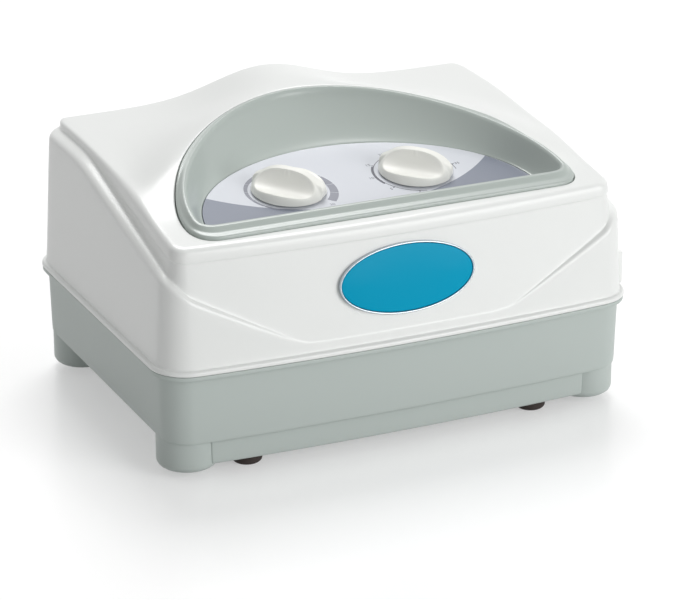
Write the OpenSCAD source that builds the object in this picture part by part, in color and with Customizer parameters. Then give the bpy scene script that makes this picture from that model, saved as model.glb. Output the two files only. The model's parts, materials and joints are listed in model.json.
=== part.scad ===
// Compression therapy pump: a two-tone desk unit with a hooded control recess.
// Millimetres, +Z up, -Y is the front, origin at the centre of the footprint on the
// surface that the feet stand on.

/* [Body] */
// Width over the rim
body_w = 236; // [228:2:248]
// Depth over the rim
body_d = 172.9; // [168:1:180]
// Corner radius of the rim seen from above
corner_r = 16; // [15:1:19]
// How far the front bows out at its middle
front_bow = 5.3; // [3:0.5:7]
// Wall of the plastic shells
wall = 2.5; // [2:0.25:2.75]

/* [Base tray] */
// Height of the parting line between the base and the upper case
part_z = 52.2; // [50:0.5:56]
// Height at which the base walls end between the corner posts
step_z = 18; // [17:0.5:20]
// Height of the underside
belly_z = 6; // [5:0.5:7]
// Depth of the lip under the rim
lip_h = 2; // [1.5:0.25:3]
// Set-back of the base wall from the rim
base_in = 3.2; // [2.5:0.25:4]
// Draft of the base wall, as a slope
base_draft = 0.02; // [0:0.005:0.03]
// Set-back of the band below the step at the front and rear
band_in = 3; // [2:0.5:5]
// Depth of the finger grip under each side
grip_in = 20; // [16:1:22]
// Radius of the corner posts
post_r = 14; // [12:0.5:15]
// Height of the lower ends of the corner posts
post_z = 3.5; // [2.5:0.25:4.5]

/* [Feet] */
// Diameter of a rubber foot
foot_d = 14; // [12:0.5:16]
// Distance of the feet from the sides
foot_in_x = 46; // [43:1:50]
// Distance of the feet from the front and the rear
foot_in_y = 21.45; // [19.45:0.5:24.45]

/* [Upper case] */
// Height of the bead along the rim
bead_h = 2.4; // [2:0.2:3]
// Set-back of the wall above the bead
bead_in = 2.3; // [1.5:0.25:3]
// Draft of the lower cheek wall, as a slope
cheek_draft = 0.048; // [0.03:0.002:0.06]
// Height of the cheek's top edge at mid-depth
cheek_z = 109.4; // [106:0.5:111]
// Rise of that edge towards the rear, as a slope
cheek_slope = 0.22; // [0.18:0.01:0.24]
// Height at which the diagonal edge on the front would meet the middle
cheek_front_z = 32; // [28:1:36]
// Rise of the diagonal edge on the front, as a slope
cheek_front_slope = 0.525; // [0.48:0.005:0.55]
// Lean of the upper front face, as a slope
front_lean = 0.145; // [0.12:0.005:0.16]
// Lean of the upper side faces, as a slope
side_lean = 0.12; // [0.1:0.005:0.14]
// Set-back of the upper side faces at the rim
side_in = 4.1; // [3.5:0.1:5]
// Height of the deck at mid-depth
deck_z = 118.4; // [117:0.2:120]
// Rise of the deck towards the rear, as a slope
deck_slope = 0.14; // [0.12:0.005:0.16]
// Radius along the deck's edge
edge_r = 3; // [2:0.5:4]
// Half width of the ridge behind the hood
ridge_w = 34; // [30:1:38]
// Reach of the collar that rises to the hood
collar_w = 16; // [12:1:20]

/* [Hood] */
// Distance of the hood's crest from the sides
hood_in = 26.2; // [25:0.2:29]
// Place of the hood's widest line along the depth
hood_y = -55; // [-57:0.5:-53]
// Place of the crest at the top of the arch
hood_rear_y = 41; // [38:0.5:44]
// Place of the crest on the front bar
hood_front_y = -62; // [-63:0.25:-61]
// Height of the crest at mid-depth
crest_z = 126.5; // [125.5:0.25:127.5]
// Rise of the crest towards the rear, as a slope
crest_slope = 0.213; // [0.2:0.002:0.22]
// How far the hood's foot lies outside its crest at the front
foot_front = 7; // [6:0.25:7.5]
// How far the hood's foot lies outside its crest at the ends
foot_side = 3.8; // [3:0.2:4.5]

/* [Controls] */
// Height of the control panel at mid-depth
panel_z = 111.5; // [110:0.25:112.5]
// Rise of the panel towards the rear, as a slope
panel_slope = 0.128; // [0.11:0.002:0.14]
// Thickness of the panel plate
panel_t = 2; // [1.5:0.25:2.5]
// Distance of the panel's edge from the hood's crest at its widest
panel_in = 10.3; // [8.8:0.5:13.8]
// Place of the panel's rear edge
panel_rear_y = 14.5; // [12:0.5:16]
// Distance between the two knobs
knob_pitch = 64; // [58:1:72]
// Place of the knobs along the panel
knob_y = -23; // [-26:0.5:-21]
// Diameter of a knob
knob_d = 36; // [32:0.5:38]
// Height of a knob above the panel
knob_h = 11; // [10:0.5:14]
// Height of the lip in front of the finger scoops
knob_lip = 5; // [4:0.25:6]
// Width of the grip between the two scoops at its waist
knob_waist = 4; // [3:0.5:7]
// Radius of the scoop's edge seen from above
scoop_arc = 29; // [25:1:34]
// Angle of the timer's grip at rest
timer_rest = -47; // [-60:1:0]
// Angle of the pressure knob's grip at rest
pressure_rest = -38; // [-60:1:0]
// Diameter of the control shafts
shaft_d = 6; // [5:0.25:7]
// Running clearance of the shafts
shaft_gap = 0.05; // [0.02:0.01:0.09]

/* [Badge] */
// Width of the oval badge
badge_w = 67; // [58:1:70]
// Height of the oval badge
badge_h = 32.5; // [29:0.5:34]
// Height of the badge's middle
badge_z = 81.8; // [80:0.2:84]

/* [Hose outlet] */
// Number of hose ports
port_count = 4; // [3:1:4]
// Distance between the ports
port_pitch = 12; // [11:0.25:13]
// Bore of a hose port
port_bore = 6.4; // [5.6:0.2:7]
// Place of the ports' middle along the depth
outlet_y = -40; // [-42:0.5:-38]
// Height of the ports
outlet_z = 62.8; // [62:0.2:64]

/* [Rear] */
// Place of the mains inlet along the width
inlet_x = 62; // [56:1:68]
// Place of the rocker switch along the width
rocker_x = 22; // [18:1:26]
// Place of the fuse holder along the width
fuse_x = -6; // [-10:1:-2]
// Place of the air intake along the width
intake_x = -58; // [-64:1:-52]
// Height of the rear fittings
rear_z = 36; // [34:0.5:38]

/* [Compressor] */
// Distance of the compressor's middle from the left side
comp_in_x = 78; // [78:1:82]
// Place of the compressor along the depth
comp_y = 6; // [2:1:10]
// Height of the compressor's axis
comp_z = 44; // [42:0.5:46]
// Width across the two pump heads
comp_w = 100; // [96:1:101]
// Diameter of a diaphragm
diaphragm_d = 44; // [40:1:46]
// Travel of the armature to each side
stroke = 1.5; // [1:0.25:1.75]

/* [Air distributor] */
// Distance of the distributor's middle from the right side
dist_in_x = 56; // [54:1:60]
// Distance of the distributor's middle from the rear
dist_in_y = 60.45; // [58.45:1:64.45]
// Diameter of the distributor body
dist_d = 50; // [46:1:52]

/* [Hidden] */
$fn = 64;
eps = 0.01;

half_w = body_w / 2;
half_d = body_d / 2;
hood_w = body_w - 2 * hood_in;
panel_w = hood_w - 2 * panel_in;
foot_pitch_x = body_w - 2 * foot_in_x;
foot_pitch_y = body_d - 2 * foot_in_y;
comp_x = comp_in_x - half_w;
dist_x = half_w - dist_in_x;
dist_y = half_d - dist_in_y;
// steps of the outlines: front half, front corner, side, rear corner, rear half
n_front = 8;
n_corner = 8;
n_side = 14;
n_back = 6;
n_rear = 11;
n_arch = n_side + n_back + n_rear;

function mix(a, b, t) = a + (b - a) * t;
function clamp(t) = min(max(t, 0), 1);
function smooth(from, to, v) = let (t = clamp((v - from) / (to - from))) t * t * (3 - 2 * t);
// y up to where the rise starts to flatten, and level past where it has flattened
function eased(y, from, to) =
    y < from ? y : y < to ? y - pow(y - from, 2) / (2 * (to - from)) : (from + to) / 2;
function bezier(p, t) = p[0] * pow(1 - t, 3) + p[1] * 3 * t * pow(1 - t, 2)
    + p[2] * 3 * t * t * (1 - t) + p[3] * pow(t, 3);
// A whole ring from its right half, front centre to rear centre
function mirrored(p) = [for (k = [0 : len(p) - 1]) k == 0 ? -p[0] : p[k]];
function whole(half) = concat(half, [for (i = [len(half) - 2 : -1 : 1]) mirrored(half[i])]);

// ---- plan of the body ----
side_front = -(half_d - front_bow - corner_r);
side_rear = half_d - corner_r;
flat_x = half_w - corner_r;
// Each entry: share of the flat width, share of the way from front to rear, outward normal
PLAN = concat(
    [for (i = [0 : n_front - 1]) [i / n_front, 0, 0, -1]],
    [for (i = [0 : n_corner - 1]) let (a = -90 + 90 * i / n_corner) [1, 0, cos(a), sin(a)]],
    [for (i = [0 : n_side - 1]) [1, i / n_side, 1, 0]],
    [for (i = [0 : n_back - 1]) let (a = 90 * i / n_back) [1, 1, cos(a), sin(a)]],
    [for (i = [0 : n_rear - 1]) [1 - i / (n_rear - 1), 1, 0, 1]]);
// The front half is stretched so that its middle bows out
function bowed(x, y) = y < 0
    ? y * (1 + front_bow / (half_d - front_bow) * (1 - pow(x / half_w, 2))) : y;
// An inset deeper than the corner radius keeps a small radius and moves the corner in
least_r = 1;
function plan_point(p, front, side, rear) =
    let (cut = corner_r - least_r, sx = min(side, cut), sf = min(front, cut), sr = min(rear, cut),
        x = p[0] * (flat_x - side + sx) + p[2] * (corner_r - sx),
        y = mix(side_front + front - sf, side_rear - rear + sr, p[1])
            + p[3] * (corner_r - (p[3] < 0 ? sf : sr)))
    [x, bowed(x, y)];
function plan(front, side, rear) = whole([for (p = PLAN) plan_point(p, front, side, rear)]);
module slab(z, h, front, side, rear) {
    translate([0, 0, z]) linear_extrude(h) polygon(plan(front, side, rear));
}

// ---- outlines of the hood and the panel: a half moon with a straight front ----
function moon(half_width, widest_y, rear_y, front_y, corner, rear_pull, side_pull) =
    let (flat = half_width - corner, drop = widest_y - front_y, rise = rear_y - widest_y)
    concat(
        [for (i = [0 : n_front - 1]) [flat * i / n_front, front_y]],
        [for (i = [0 : n_corner - 1]) bezier([[flat, front_y], [flat + corner * 0.6, front_y],
            [half_width, widest_y - drop * 0.6], [half_width, widest_y]], i / n_corner)],
        [for (i = [0 : n_arch - 1]) bezier([[half_width, widest_y],
            [half_width, widest_y + rise * side_pull], [half_width * rear_pull, rear_y],
            [0, rear_y]], i / (n_arch - 1))]);
arch_rear = 0.46;
arch_side = 0.44;
hood_corner = 9;
function hood_moon(out_side, out_front, out_rear) = moon(hood_w / 2 + out_side,
    hood_y, hood_rear_y + out_rear, hood_front_y - out_front, hood_corner + out_side,
    arch_rear, arch_side);
OPENING = hood_moon(foot_side, foot_front, 0.8);

// ---- heights of the deck, the crest and the panel ----
function deck_at(y) = deck_z + deck_slope * eased(y, 0, 60);
function crest_at(y) = crest_z + crest_slope * eased(y, 24, 66);
function panel_at(y) = panel_z + panel_slope * y;
// distance of a plan point outside the hood's foot, taken along the ray from the hood's middle
arch_a = hood_w / 2 + foot_side;
arch_b = hood_rear_y - hood_y;
arch_n = 1.7;
function outside(x, y) = let (dx = abs(x), dy = max(y - hood_y, 0.01), r = norm([dx, dy]),
    edge = pow(pow(dx / r / arch_a, arch_n) + pow(dy / r / arch_b, arch_n), -1 / arch_n))
    max(r - edge, 0);
function collar(x, y) = exp(-pow(outside(x, y) / collar_w, 2)) * smooth(-52, -5, y);
function ridge(x, y) = exp(-pow(x / ridge_w, 2)) * smooth(-10, 30, y);
function top_at(x, y) = let (c = collar(x, y), r = ridge(x, y))
    deck_at(y) + (crest_at(y) - deck_at(y)) * (c + r - c * r);

// ---- a closed band of rings, each with as many points ----
module loft(rings) {
    n = len(rings[0]);
    m = len(rings);
    polyhedron(points = [for (r = rings) each r],
        faces = [for (k = [0 : m - 1], i = [0 : n - 1])
            let (a = k * n + i, b = k * n + (i + 1) % n,
                c = (k + 1) % m * n + (i + 1) % n, d = (k + 1) % m * n + i)
            each [[a, c, b], [a, d, c]]],
        convexity = 8);
}

// ---- upper case ----
bead_top = part_z + bead_h;
cheek_low = bead_top + 4;
cheek_soft = 3;
// set-backs of the walls where they meet the deck at the front, the sides and the rear
function rise(y) = deck_at(y) - bead_top;
nominal_in = [front_lean * rise(-half_d) + bead_in, side_lean * rise(-half_d / 2) + side_in,
    cheek_draft * rise(half_d) + bead_in];
function cheek_in(z) = bead_in + cheek_draft * (z - part_z);
function upper_in(z) = [max(bead_in + front_lean * (z - bead_top), cheek_in(z)),
    max(side_in + side_lean * (z - bead_top), cheek_in(z)), cheek_in(z)];
function deck_edge(p) = let (q = plan_point(p, nominal_in[0], nominal_in[1], nominal_in[2]))
    top_at(q[0], q[1]);
function cheek_at(p) = let (q = plan_point(p, 0, 0, 0),
    side = cheek_z + cheek_slope * q[1],
    front = cheek_front_z + cheek_front_slope * abs(q[0]),
    line = mix(side, front, p[1] > 0 ? 0 : smooth(0, 1, -p[3])))
    min(max(line, cheek_low), deck_edge(p) - edge_r - 2);
function wall_point(p, z, v) = let (q = plan_point(p, v[0], v[1], v[2])) [q[0], q[1], z];
function cheek_point(p, z, more) = let (d = cheek_in(z) + more) wall_point(p, z, [d, d, d]);
function upper_point(p, z, more) = wall_point(p, z, upper_in(z) + [more, more, more]);
function deck_point(i, t, drop) = let (p = PLAN[i], e = upper_point(p, deck_edge(p), edge_r + drop / 3),
    x = mix(e[0], OPENING[i][0], t), y = mix(e[1], OPENING[i][1], t)) [x, y, top_at(x, y) - drop];
half_ring = [0 : len(PLAN) - 1];
function shelf_point(p, z, t) = mix(cheek_point(p, z, 0), upper_point(p, z, 0), t);
function case_rings() = [
    for (v = [[part_z, 0], [bead_top - 0.8, 0], [bead_top, 0.8]])
        whole([for (p = PLAN) wall_point(p, v[0], [v[1], v[1], v[1]])]),
    whole([for (p = PLAN) cheek_point(p, bead_top + 0.2, 0)]),
    whole([for (p = PLAN) cheek_point(p, cheek_at(p) - cheek_soft, 0)]),
    for (v = [[-cheek_soft * 0.3, 0.12], [0, 0.5], [1, 1]])
        whole([for (p = PLAN) shelf_point(p, cheek_at(p) + v[0], v[1])]),
    for (v = [[edge_r, 0], [edge_r * 0.3, edge_r * 0.3]])
        whole([for (p = PLAN) upper_point(p, deck_edge(p) - v[0], v[1])]),
    for (t = [0, 0.12, 0.3, 0.5, 0.7, 0.88, 1])
        whole([for (i = half_ring) deck_point(i, t, 0)]),
    for (t = [1, 0.88, 0.7, 0.5, 0.3, 0.12])
        whole([for (i = half_ring) deck_point(i, t, wall)]),
    whole([for (p = PLAN) upper_point(p, deck_edge(p) - wall - 2, wall)]),
    whole([for (p = PLAN) upper_point(p, cheek_at(p) + 1, wall)]),
    whole([for (p = PLAN) cheek_point(p, cheek_at(p) - cheek_soft - wall * 0.6, wall)]),
    whole([for (p = PLAN) cheek_point(p, part_z, wall)])];

// ---- case fastening ----
post_inset = base_in_at(step_z) + post_r;
post_front_y = front_bow + post_inset - half_d;
post_rear_y = half_d - post_inset;
post_places = [for (x = [-1, 1], y = [post_front_y, post_rear_y]) [x * (half_w - post_inset), y]];
// the front screws stand inwards of the posts, clear of the hose outlet
front_screw = [half_w - 34, post_front_y - 4.5];
screw_places = [for (x = [-1, 1]) each
    [[x * front_screw[0], front_screw[1]], [x * (half_w - post_inset), post_rear_y]]];
screw_r = 1.8;
screw_gap = 0.1;
boss_r = 5;
boss_h = 18;
well_r = 4;
well_z = 30;
rib_t = 3;
rib_in = cheek_in(part_z + boss_h) + wall / 4;
module case_boss(x, y) {
    front_end = bowed(x, front_bow + rib_in - half_d);
    translate([x, y, part_z]) cylinder(r = boss_r, h = boss_h);
    translate([x - rib_t / 2, y < 0 ? front_end : y, part_z + 4])
        cube([rib_t, y < 0 ? y - front_end : half_d - rib_in - y, boss_h - 4]);
}

// ---- hose outlet on the right side ----
port_span = port_pitch * (port_count - 1);
outlet_w = port_span + 18;
outlet_h = 15.6;
outlet_bottom = outlet_z - outlet_h / 2;
outlet_gap = 0.05;
case_side_x = half_w - cheek_in(outlet_z);
window_h = 10;
nipple_r = 4.4;
port_plate = port_span + 9.2;
port_ys = [for (i = [0 : port_count - 1]) outlet_y + port_span / 2 - i * port_pitch];

module upper_case() {
    color("whitesmoke") difference() {
        union() {
            for (s = screw_places) case_boss(s[0], s[1]);
            loft(case_rings());
        }
        for (s = screw_places)
            translate([s[0], s[1], part_z - 1]) cylinder(r = screw_r + screw_gap, h = boss_h - 2, $fn = 32);
        translate([case_side_x - wall * 3, outlet_y - port_plate / 2 - 0.3, outlet_z - window_h / 2])
            cube([wall * 6, port_plate + 0.6, window_h]);
        for (y = outlet_screw_ys) translate([case_side_x - wall * 3, y, outlet_z])
            rotate([0, 90, 0]) cylinder(r = outlet_screw_r + screw_gap, h = wall * 6, $fn = 32);
    }
}

// ---- base tray ----
base_lip_in = 0.3;
function base_in_at(z) = base_in + base_draft * (part_z - z);
lip_z = part_z - lip_h;
floor_t = 3;
floor_top = belly_z + floor_t;
post_round = 3;
foot_boss_r = 4.5;
foot_boss_z = floor_top + 7;
foot_places = [for (y = [-1, 1], x = [-1, 1]) [x * foot_pitch_x / 2, y * foot_pitch_y / 2]];
foot_screw_r = 1.5;
relief_h = 7;
module post() {
    top = lip_z - post_z;
    core_r = post_r - post_round;
    rotate_extrude() polygon([[0, 0], [core_r, 0],
        for (a = [-75 : 15 : 0]) [core_r + post_round * cos(a), post_round + post_round * sin(a)],
        [post_r, top], [0, top]]);
}
module base_tray() {
    low = base_in_at(step_z);
    color([0.69, 0.72, 0.71]) difference() {
        union() {
            slab(lip_z, lip_h, base_lip_in, base_lip_in, base_lip_in);
            hull() {
                slab(lip_z, eps, base_in, base_in, base_in);
                slab(step_z, eps, low, low, low);
            }
            slab(belly_z, step_z - belly_z + 1, low + band_in, low + grip_in, low + band_in);
            for (p = post_places) translate([p[0], p[1], post_z]) post();
            translate([half_w - base_in - 2, outlet_y - outlet_w / 2, lip_z - relief_h])
                cube([base_in + 1.6, outlet_w, relief_h]);
        }
        hull() {
            slab(part_z, 1, base_in + wall, base_in + wall, base_in + wall);
            slab(step_z + wall, eps, low + wall, low + wall, low + wall);
        }
        slab(floor_top, step_z, low + band_in + wall, low + grip_in + wall, low + band_in + wall);
        tray_holes();
        rear_cut(inlet_x, inlet_hole[0], inlet_hole[1]);
        rear_cut(rocker_x, rocker_hole[0], rocker_hole[1]);
        rear_cut(intake_x, intake_hole[0], intake_hole[1]);
        translate([fuse_x, rear_face + 4, rear_z]) rotate([90, 0, 0]) cylinder(r = fuse_r + 0.1, h = 12);
    }
    color([0.69, 0.72, 0.71]) difference() {
        union() {
            for (f = foot_places) translate([f[0], f[1], floor_top - 1])
                cylinder(r = foot_boss_r, h = foot_boss_z - floor_top + 1);
            for (s = screw_places) translate([s[0], s[1], floor_top - 1])
                cylinder(r = boss_r + 1.5, h = part_z - floor_top + 1 - eps);
        }
        tray_holes();
    }
}
module tray_holes() {
    for (f = foot_places) translate([f[0], f[1], 0])
        cylinder(r = foot_screw_r + screw_gap, h = foot_boss_z + 1);
    for (s = screw_places) translate([s[0], s[1], 0]) {
        cylinder(r = screw_r + screw_gap, h = part_z + 1);
        translate([0, 0, -1]) cylinder(r = well_r, h = well_z + 1);
    }
}
module rear_cut(x, w, h) {
    translate([x - w / 2, rear_face - wall * 3, rear_z - h / 2]) cube([w, wall * 6, h]);
}

// ---- feet and screws ----
foot_head_r = 3;
foot_head_z = 3;
module foot(i) {
    color([0.12, 0.1, 0.09]) translate([foot_places[i][0], foot_places[i][1], 0]) rotate_extrude()
        polygon([[foot_screw_r + 0.2, foot_head_z], [foot_head_r + 0.3, foot_head_z], [foot_head_r + 0.3, 0],
            [foot_d / 2 - 1.2, 0], [foot_d / 2, 1.2], [foot_d / 2, belly_z], [foot_screw_r + 0.2, belly_z]]);
}
module foot_screws() {
    color("silver") for (f = foot_places) translate([f[0], f[1], 0]) {
        translate([0, 0, foot_head_z - 2]) cylinder(r = foot_head_r, h = 2);
        translate([0, 0, foot_head_z - eps]) cylinder(r = foot_screw_r, h = foot_boss_z - foot_head_z - 0.5);
    }
}
module case_screws() {
    color("silver") for (s = screw_places) translate([s[0], s[1], 0]) {
        translate([0, 0, well_z - 3]) cylinder(r = well_r - 0.4, h = 3);
        translate([0, 0, well_z - eps]) cylinder(r = screw_r, h = part_z + boss_h - 5 - well_z);
    }
}
rating = [60, 40, 0.4];
module rating_plate() {
    color("silver") translate([-rating[0] / 2, -rating[1] / 2, belly_z - rating[2]]) cube(rating);
}

// ---- hood ----
hood_gap = 0.3;
flange_out = 5;
function at_top(h, drop) = whole([for (p = h) [p[0], p[1], top_at(p[0], p[1]) - drop]]);
function at_crest(h, drop) = whole([for (p = h) [p[0], p[1], crest_at(p[1]) - drop]]);
function at_panel(h, rise) = whole([for (p = h) [p[0], p[1], panel_at(p[1]) + rise]]);
hood_mid = hood_moon(foot_side * 0.3, foot_front * 0.25, 0.4);
lip_moon = hood_moon(-2.2, -1.6, -2.2);
wall_moon = hood_moon(-3.2, -2.4, -3.2);
panel_front_y = hood_front_y + 3.2;
panel_widest_y = -52;
// the panel's outline, grown by a margin; its front corners take the same radius as the hood's
function panel_moon(grow) = moon(panel_w / 2 + grow, panel_widest_y + max(-grow, 0),
    panel_rear_y + grow, panel_front_y - grow, hood_corner + max(grow, 0), panel_rear, panel_side);
panel_rear = 0.5;
panel_side = 0.62;
function between(a, b, t, sag) = whole([for (i = half_ring) let (x = mix(a[i][0], b[i][0], t),
    y = mix(a[i][1], b[i][1], t)) [x, y, mix(crest_at(a[i][1]) - 3, panel_at(b[i][1]), t) - sag]]);
ledge_w = 5;
ledge_t = 2;
ledge_gap = 0.05;
module hood_bezel() {
    flange = hood_moon(foot_side + flange_out, foot_front + 0.2, flange_out);
    neck = hood_moon(foot_side - hood_gap, foot_front - hood_gap, 0.8 - hood_gap);
    inner_neck = hood_moon(foot_side - 3, foot_front - 3, -2.2);
    color([0.62, 0.66, 0.63]) loft([
        at_top(flange, wall + 2.8), at_top(flange, wall + 1), at_top(neck, wall + 0.4),
        at_top(neck, -0.4), at_crest(hood_mid, 0.9), at_crest(hood_moon(0, 0, 0), 0),
        at_crest(lip_moon, 0.9), at_crest(wall_moon, 3),
        between(wall_moon, panel_moon(0), 0.35, 1.2), between(wall_moon, panel_moon(0), 0.7, 1.4),
        at_panel(panel_moon(hood_gap), 0), at_panel(panel_moon(hood_gap), -panel_t - ledge_gap),
        at_panel(panel_moon(-ledge_w), -panel_t - ledge_gap),
        at_panel(panel_moon(-ledge_w), -panel_t - ledge_t),
        at_panel(panel_moon(wall), -panel_t - ledge_t), at_top(inner_neck, wall + 2.8)]);
}

// ---- control panel, in its own tilted frame: local z is out of the panel ----
panel_tilt = atan(panel_slope);
module on_panel() {
    translate([0, 0, panel_z]) rotate([panel_tilt, 0, 0]) children();
}
knob_v = knob_y / cos(panel_tilt);
bush_r = 4.5;
module at_knob(side) {
    on_panel() translate([side * knob_pitch / 2, knob_v, 0]) children();
}
module control_panel() {
    color([0.88, 0.9, 0.94]) on_panel() difference() {
        translate([0, 0, -panel_t]) linear_extrude(panel_t)
            polygon([for (p = whole(panel_moon(0))) [p[0], p[1] / cos(panel_tilt)]]);
        for (s = [-1, 1]) translate([s * knob_pitch / 2, knob_v, -panel_t - 1])
            cylinder(r = bush_r + 0.1, h = panel_t + 2);
    }
}

// ---- knobs: a drum with a finger scoop on each side of a waisted grip ----
knob_lift = 0.6;
knob_edge = 1.2;
knob_bore_h = 8;
scoop_y = scoop_arc + knob_waist / 2;
// the ball that cuts a scoop passes through the scoop's edge on top and through the lip
scoop_drop = knob_h - knob_lip;
scoop_rise = (pow(scoop_arc, 2) - pow(scoop_y - knob_d / 2, 2) - pow(scoop_drop, 2)) / (2 * scoop_drop);
scoop_r = norm([scoop_arc, scoop_rise]);
module knob() {
    color([0.93, 0.93, 0.9]) difference() {
        rotate_extrude() polygon([[0, knob_lift], [knob_d / 2, knob_lift],
            for (a = [0 : 30 : 90]) [knob_d / 2 - knob_edge * (1 - cos(a)), knob_h - knob_edge * (1 - sin(a))],
            [0, knob_h]]);
        for (s = [-1, 1]) translate([0, s * scoop_y, knob_h + scoop_rise]) sphere(r = scoop_r, $fn = 160);
        translate([0, 0, -eps]) cylinder(r = shaft_d / 2 + shaft_gap, h = knob_lift + knob_bore_h);
        translate([0, 0, -eps]) cylinder(r = nut_r + 1, h = knob_lift + nut_h + 0.8);
    }
}
nut_r = 6.5;
nut_h = 2;
shaft_in = 8;
module control_shaft() {
    color("silver") translate([0, 0, -panel_t - shaft_in])
        cylinder(r = shaft_d / 2, h = panel_t + shaft_in + knob_lift + knob_bore_h - 1);
}
module timer_knob() { at_knob(-1) rotate(timer_rest) knob(); }
module pressure_knob() { at_knob(1) rotate(pressure_rest) knob(); }
module timer_shaft() { at_knob(-1) control_shaft(); }
module pressure_spindle() { at_knob(1) control_shaft(); }
module shaft_nuts() {
    color("silver") for (s = [-1, 1]) at_knob(s) difference() {
        cylinder(r = nut_r, h = nut_h, $fn = 6);
        translate([0, 0, -1]) cylinder(r = bush_r + 0.05, h = nut_h + 2);
    }
}
module bushing(depth) {
    difference() {
        translate([0, 0, -panel_t - depth]) cylinder(r = bush_r, h = panel_t + depth + nut_h);
        shaft_bore(panel_t + nut_h + 2);
    }
}
// a blind bore for the shaft, open for some way above the panel's underside
module shaft_bore(above) {
    translate([0, 0, -panel_t - shaft_in - 0.5])
        cylinder(r = shaft_d / 2 + shaft_gap, h = shaft_in + 0.5 + above);
}
timer_w = 40;
timer_h = 26;
module timer_body() {
    color("dimgray") at_knob(-1) {
        bushing(1);
        difference() {
            translate([0, 0, -panel_t]) block([timer_w, timer_w - 6, timer_h], -timer_h);
            shaft_bore(1);
        }
        for (i = [-1, 0, 1]) translate([i * 10 - 3, -4, -panel_t - timer_h - 6]) cube([6, 0.8, 6 + eps]);
    }
}
reg_r = 16;
reg_h = 22;
reg_port = -panel_t - reg_h + 6;
module regulator_body() {
    color("goldenrod") at_knob(1) {
        bushing(1);
        difference() {
            union() {
                translate([0, 0, -panel_t - 10]) cylinder(r = 9, h = 10);
                translate([0, 0, -panel_t - reg_h]) cylinder(r = reg_r, h = reg_h - 10 + eps);
                translate([0, 0, -panel_t - reg_h - 8]) cylinder(r = 7, h = 8 + eps);
            }
            shaft_bore(1);
        }
        translate([reg_r - 1, 0, reg_port]) rotate([0, 90, 0]) difference() {
            cylinder(r = hose_bore / 2, h = nipple_h + 1);
            translate([0, 0, 2]) cylinder(r = hose_bore / 2 - 0.8, h = nipple_h);
        }
    }
}

// ---- badge on the leaning front face ----
function front_at(z) = bowed(0, front_bow + upper_in(z)[0] - half_d);
badge_tilt = atan((front_at(badge_z + 1) - front_at(badge_z)));
badge_gap = 0.1;
badge_y = front_at(badge_z) - badge_gap;
module on_badge() {
    translate([0, badge_y, badge_z]) rotate([90 - badge_tilt, 0, 0]) children();
}
badge_rim_w = 1.6;
badge_t = 1.6;
module oval(w, h) {
    polygon([for (a = [0 : 6 : 354]) [w / 2 * cos(a), h / 2 * sin(a)]]);
}
module badge_field() {
    oval(badge_w - 2 * badge_rim_w, badge_h - 2 * badge_rim_w);
}
module badge_rim() {
    color("silver") on_badge() difference() {
        linear_extrude(badge_t + 0.4) oval(badge_w, badge_h);
        translate([0, 0, -2]) linear_extrude(badge_t + 4) badge_field();
    }
}
module badge() {
    color([0, 0.6, 0.8]) on_badge()
        linear_extrude(badge_t) badge_field();
}

// ---- hose outlet ----
outlet_screw_ys = [for (s = [-1, 1]) outlet_y + s * (outlet_w / 2 - 2.8)];
outlet_screw_r = 1.1;
outlet_head_r = 2.1;
outlet_head_h = 1.3;
port_depth = wall + 6;
function outlet_back(z) = half_w - cheek_in(z) + outlet_gap;
module outlet_block() {
    top = outlet_bottom + outlet_h;
    color("whitesmoke") difference() {
        union() {
            translate([0, outlet_y + outlet_w / 2, 0]) rotate([90, 0, 0]) linear_extrude(outlet_w)
                polygon([[outlet_back(outlet_bottom), outlet_bottom], [half_w, outlet_bottom],
                    [half_w, top], [outlet_back(top), top]]);
            translate([case_side_x - port_depth, outlet_y - port_plate / 2, outlet_z - window_h / 2 + 0.5])
                cube([port_depth + 1, port_plate, window_h - 1]);
        }
        for (y = port_ys) translate([case_side_x - port_depth - 1, y, outlet_z]) rotate([0, 90, 0]) {
            cylinder(r = nipple_r - 0.6, h = 30);
            cylinder(r = nipple_r, h = 8);
        }
        for (y = outlet_screw_ys) translate([case_side_x - 1, y, outlet_z]) rotate([0, 90, 0]) {
            cylinder(r = outlet_screw_r + screw_gap, h = 10);
            translate([0, 0, half_w - case_side_x + 1 - outlet_head_h])
                cylinder(r = outlet_head_r + 0.2, h = 10);
        }
    }
}
module outlet_nipples() {
    color("gainsboro") for (y = port_ys) translate([case_side_x - port_depth - nipple_h, y, outlet_z])
        rotate([0, 90, 0]) difference() {
            union() {
                translate([0, 0, nipple_h]) cylinder(r = nipple_r - 0.05, h = 6.9);
                translate([0, 0, nipple_h])
                    cylinder(r = nipple_r - 0.65, h = port_depth + half_w - case_side_x - 0.4);
                cylinder(r = hose_bore / 2, h = nipple_h + 1);
            }
            translate([0, 0, nipple_h + 2]) cylinder(r = port_bore / 2, h = 20);
            translate([0, 0, -1]) cylinder(r = hose_bore / 2 - 0.8, h = 20);
        }
}
module outlet_screws() {
    reach = half_w - case_side_x + wall;
    color("silver") for (y = outlet_screw_ys) translate([half_w - outlet_head_h, y, outlet_z])
        rotate([0, 90, 0]) {
            cylinder(r = outlet_head_r, h = outlet_head_h - 0.2);
            translate([0, 0, -reach]) cylinder(r = outlet_screw_r, h = reach + eps);
        }
}

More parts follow.
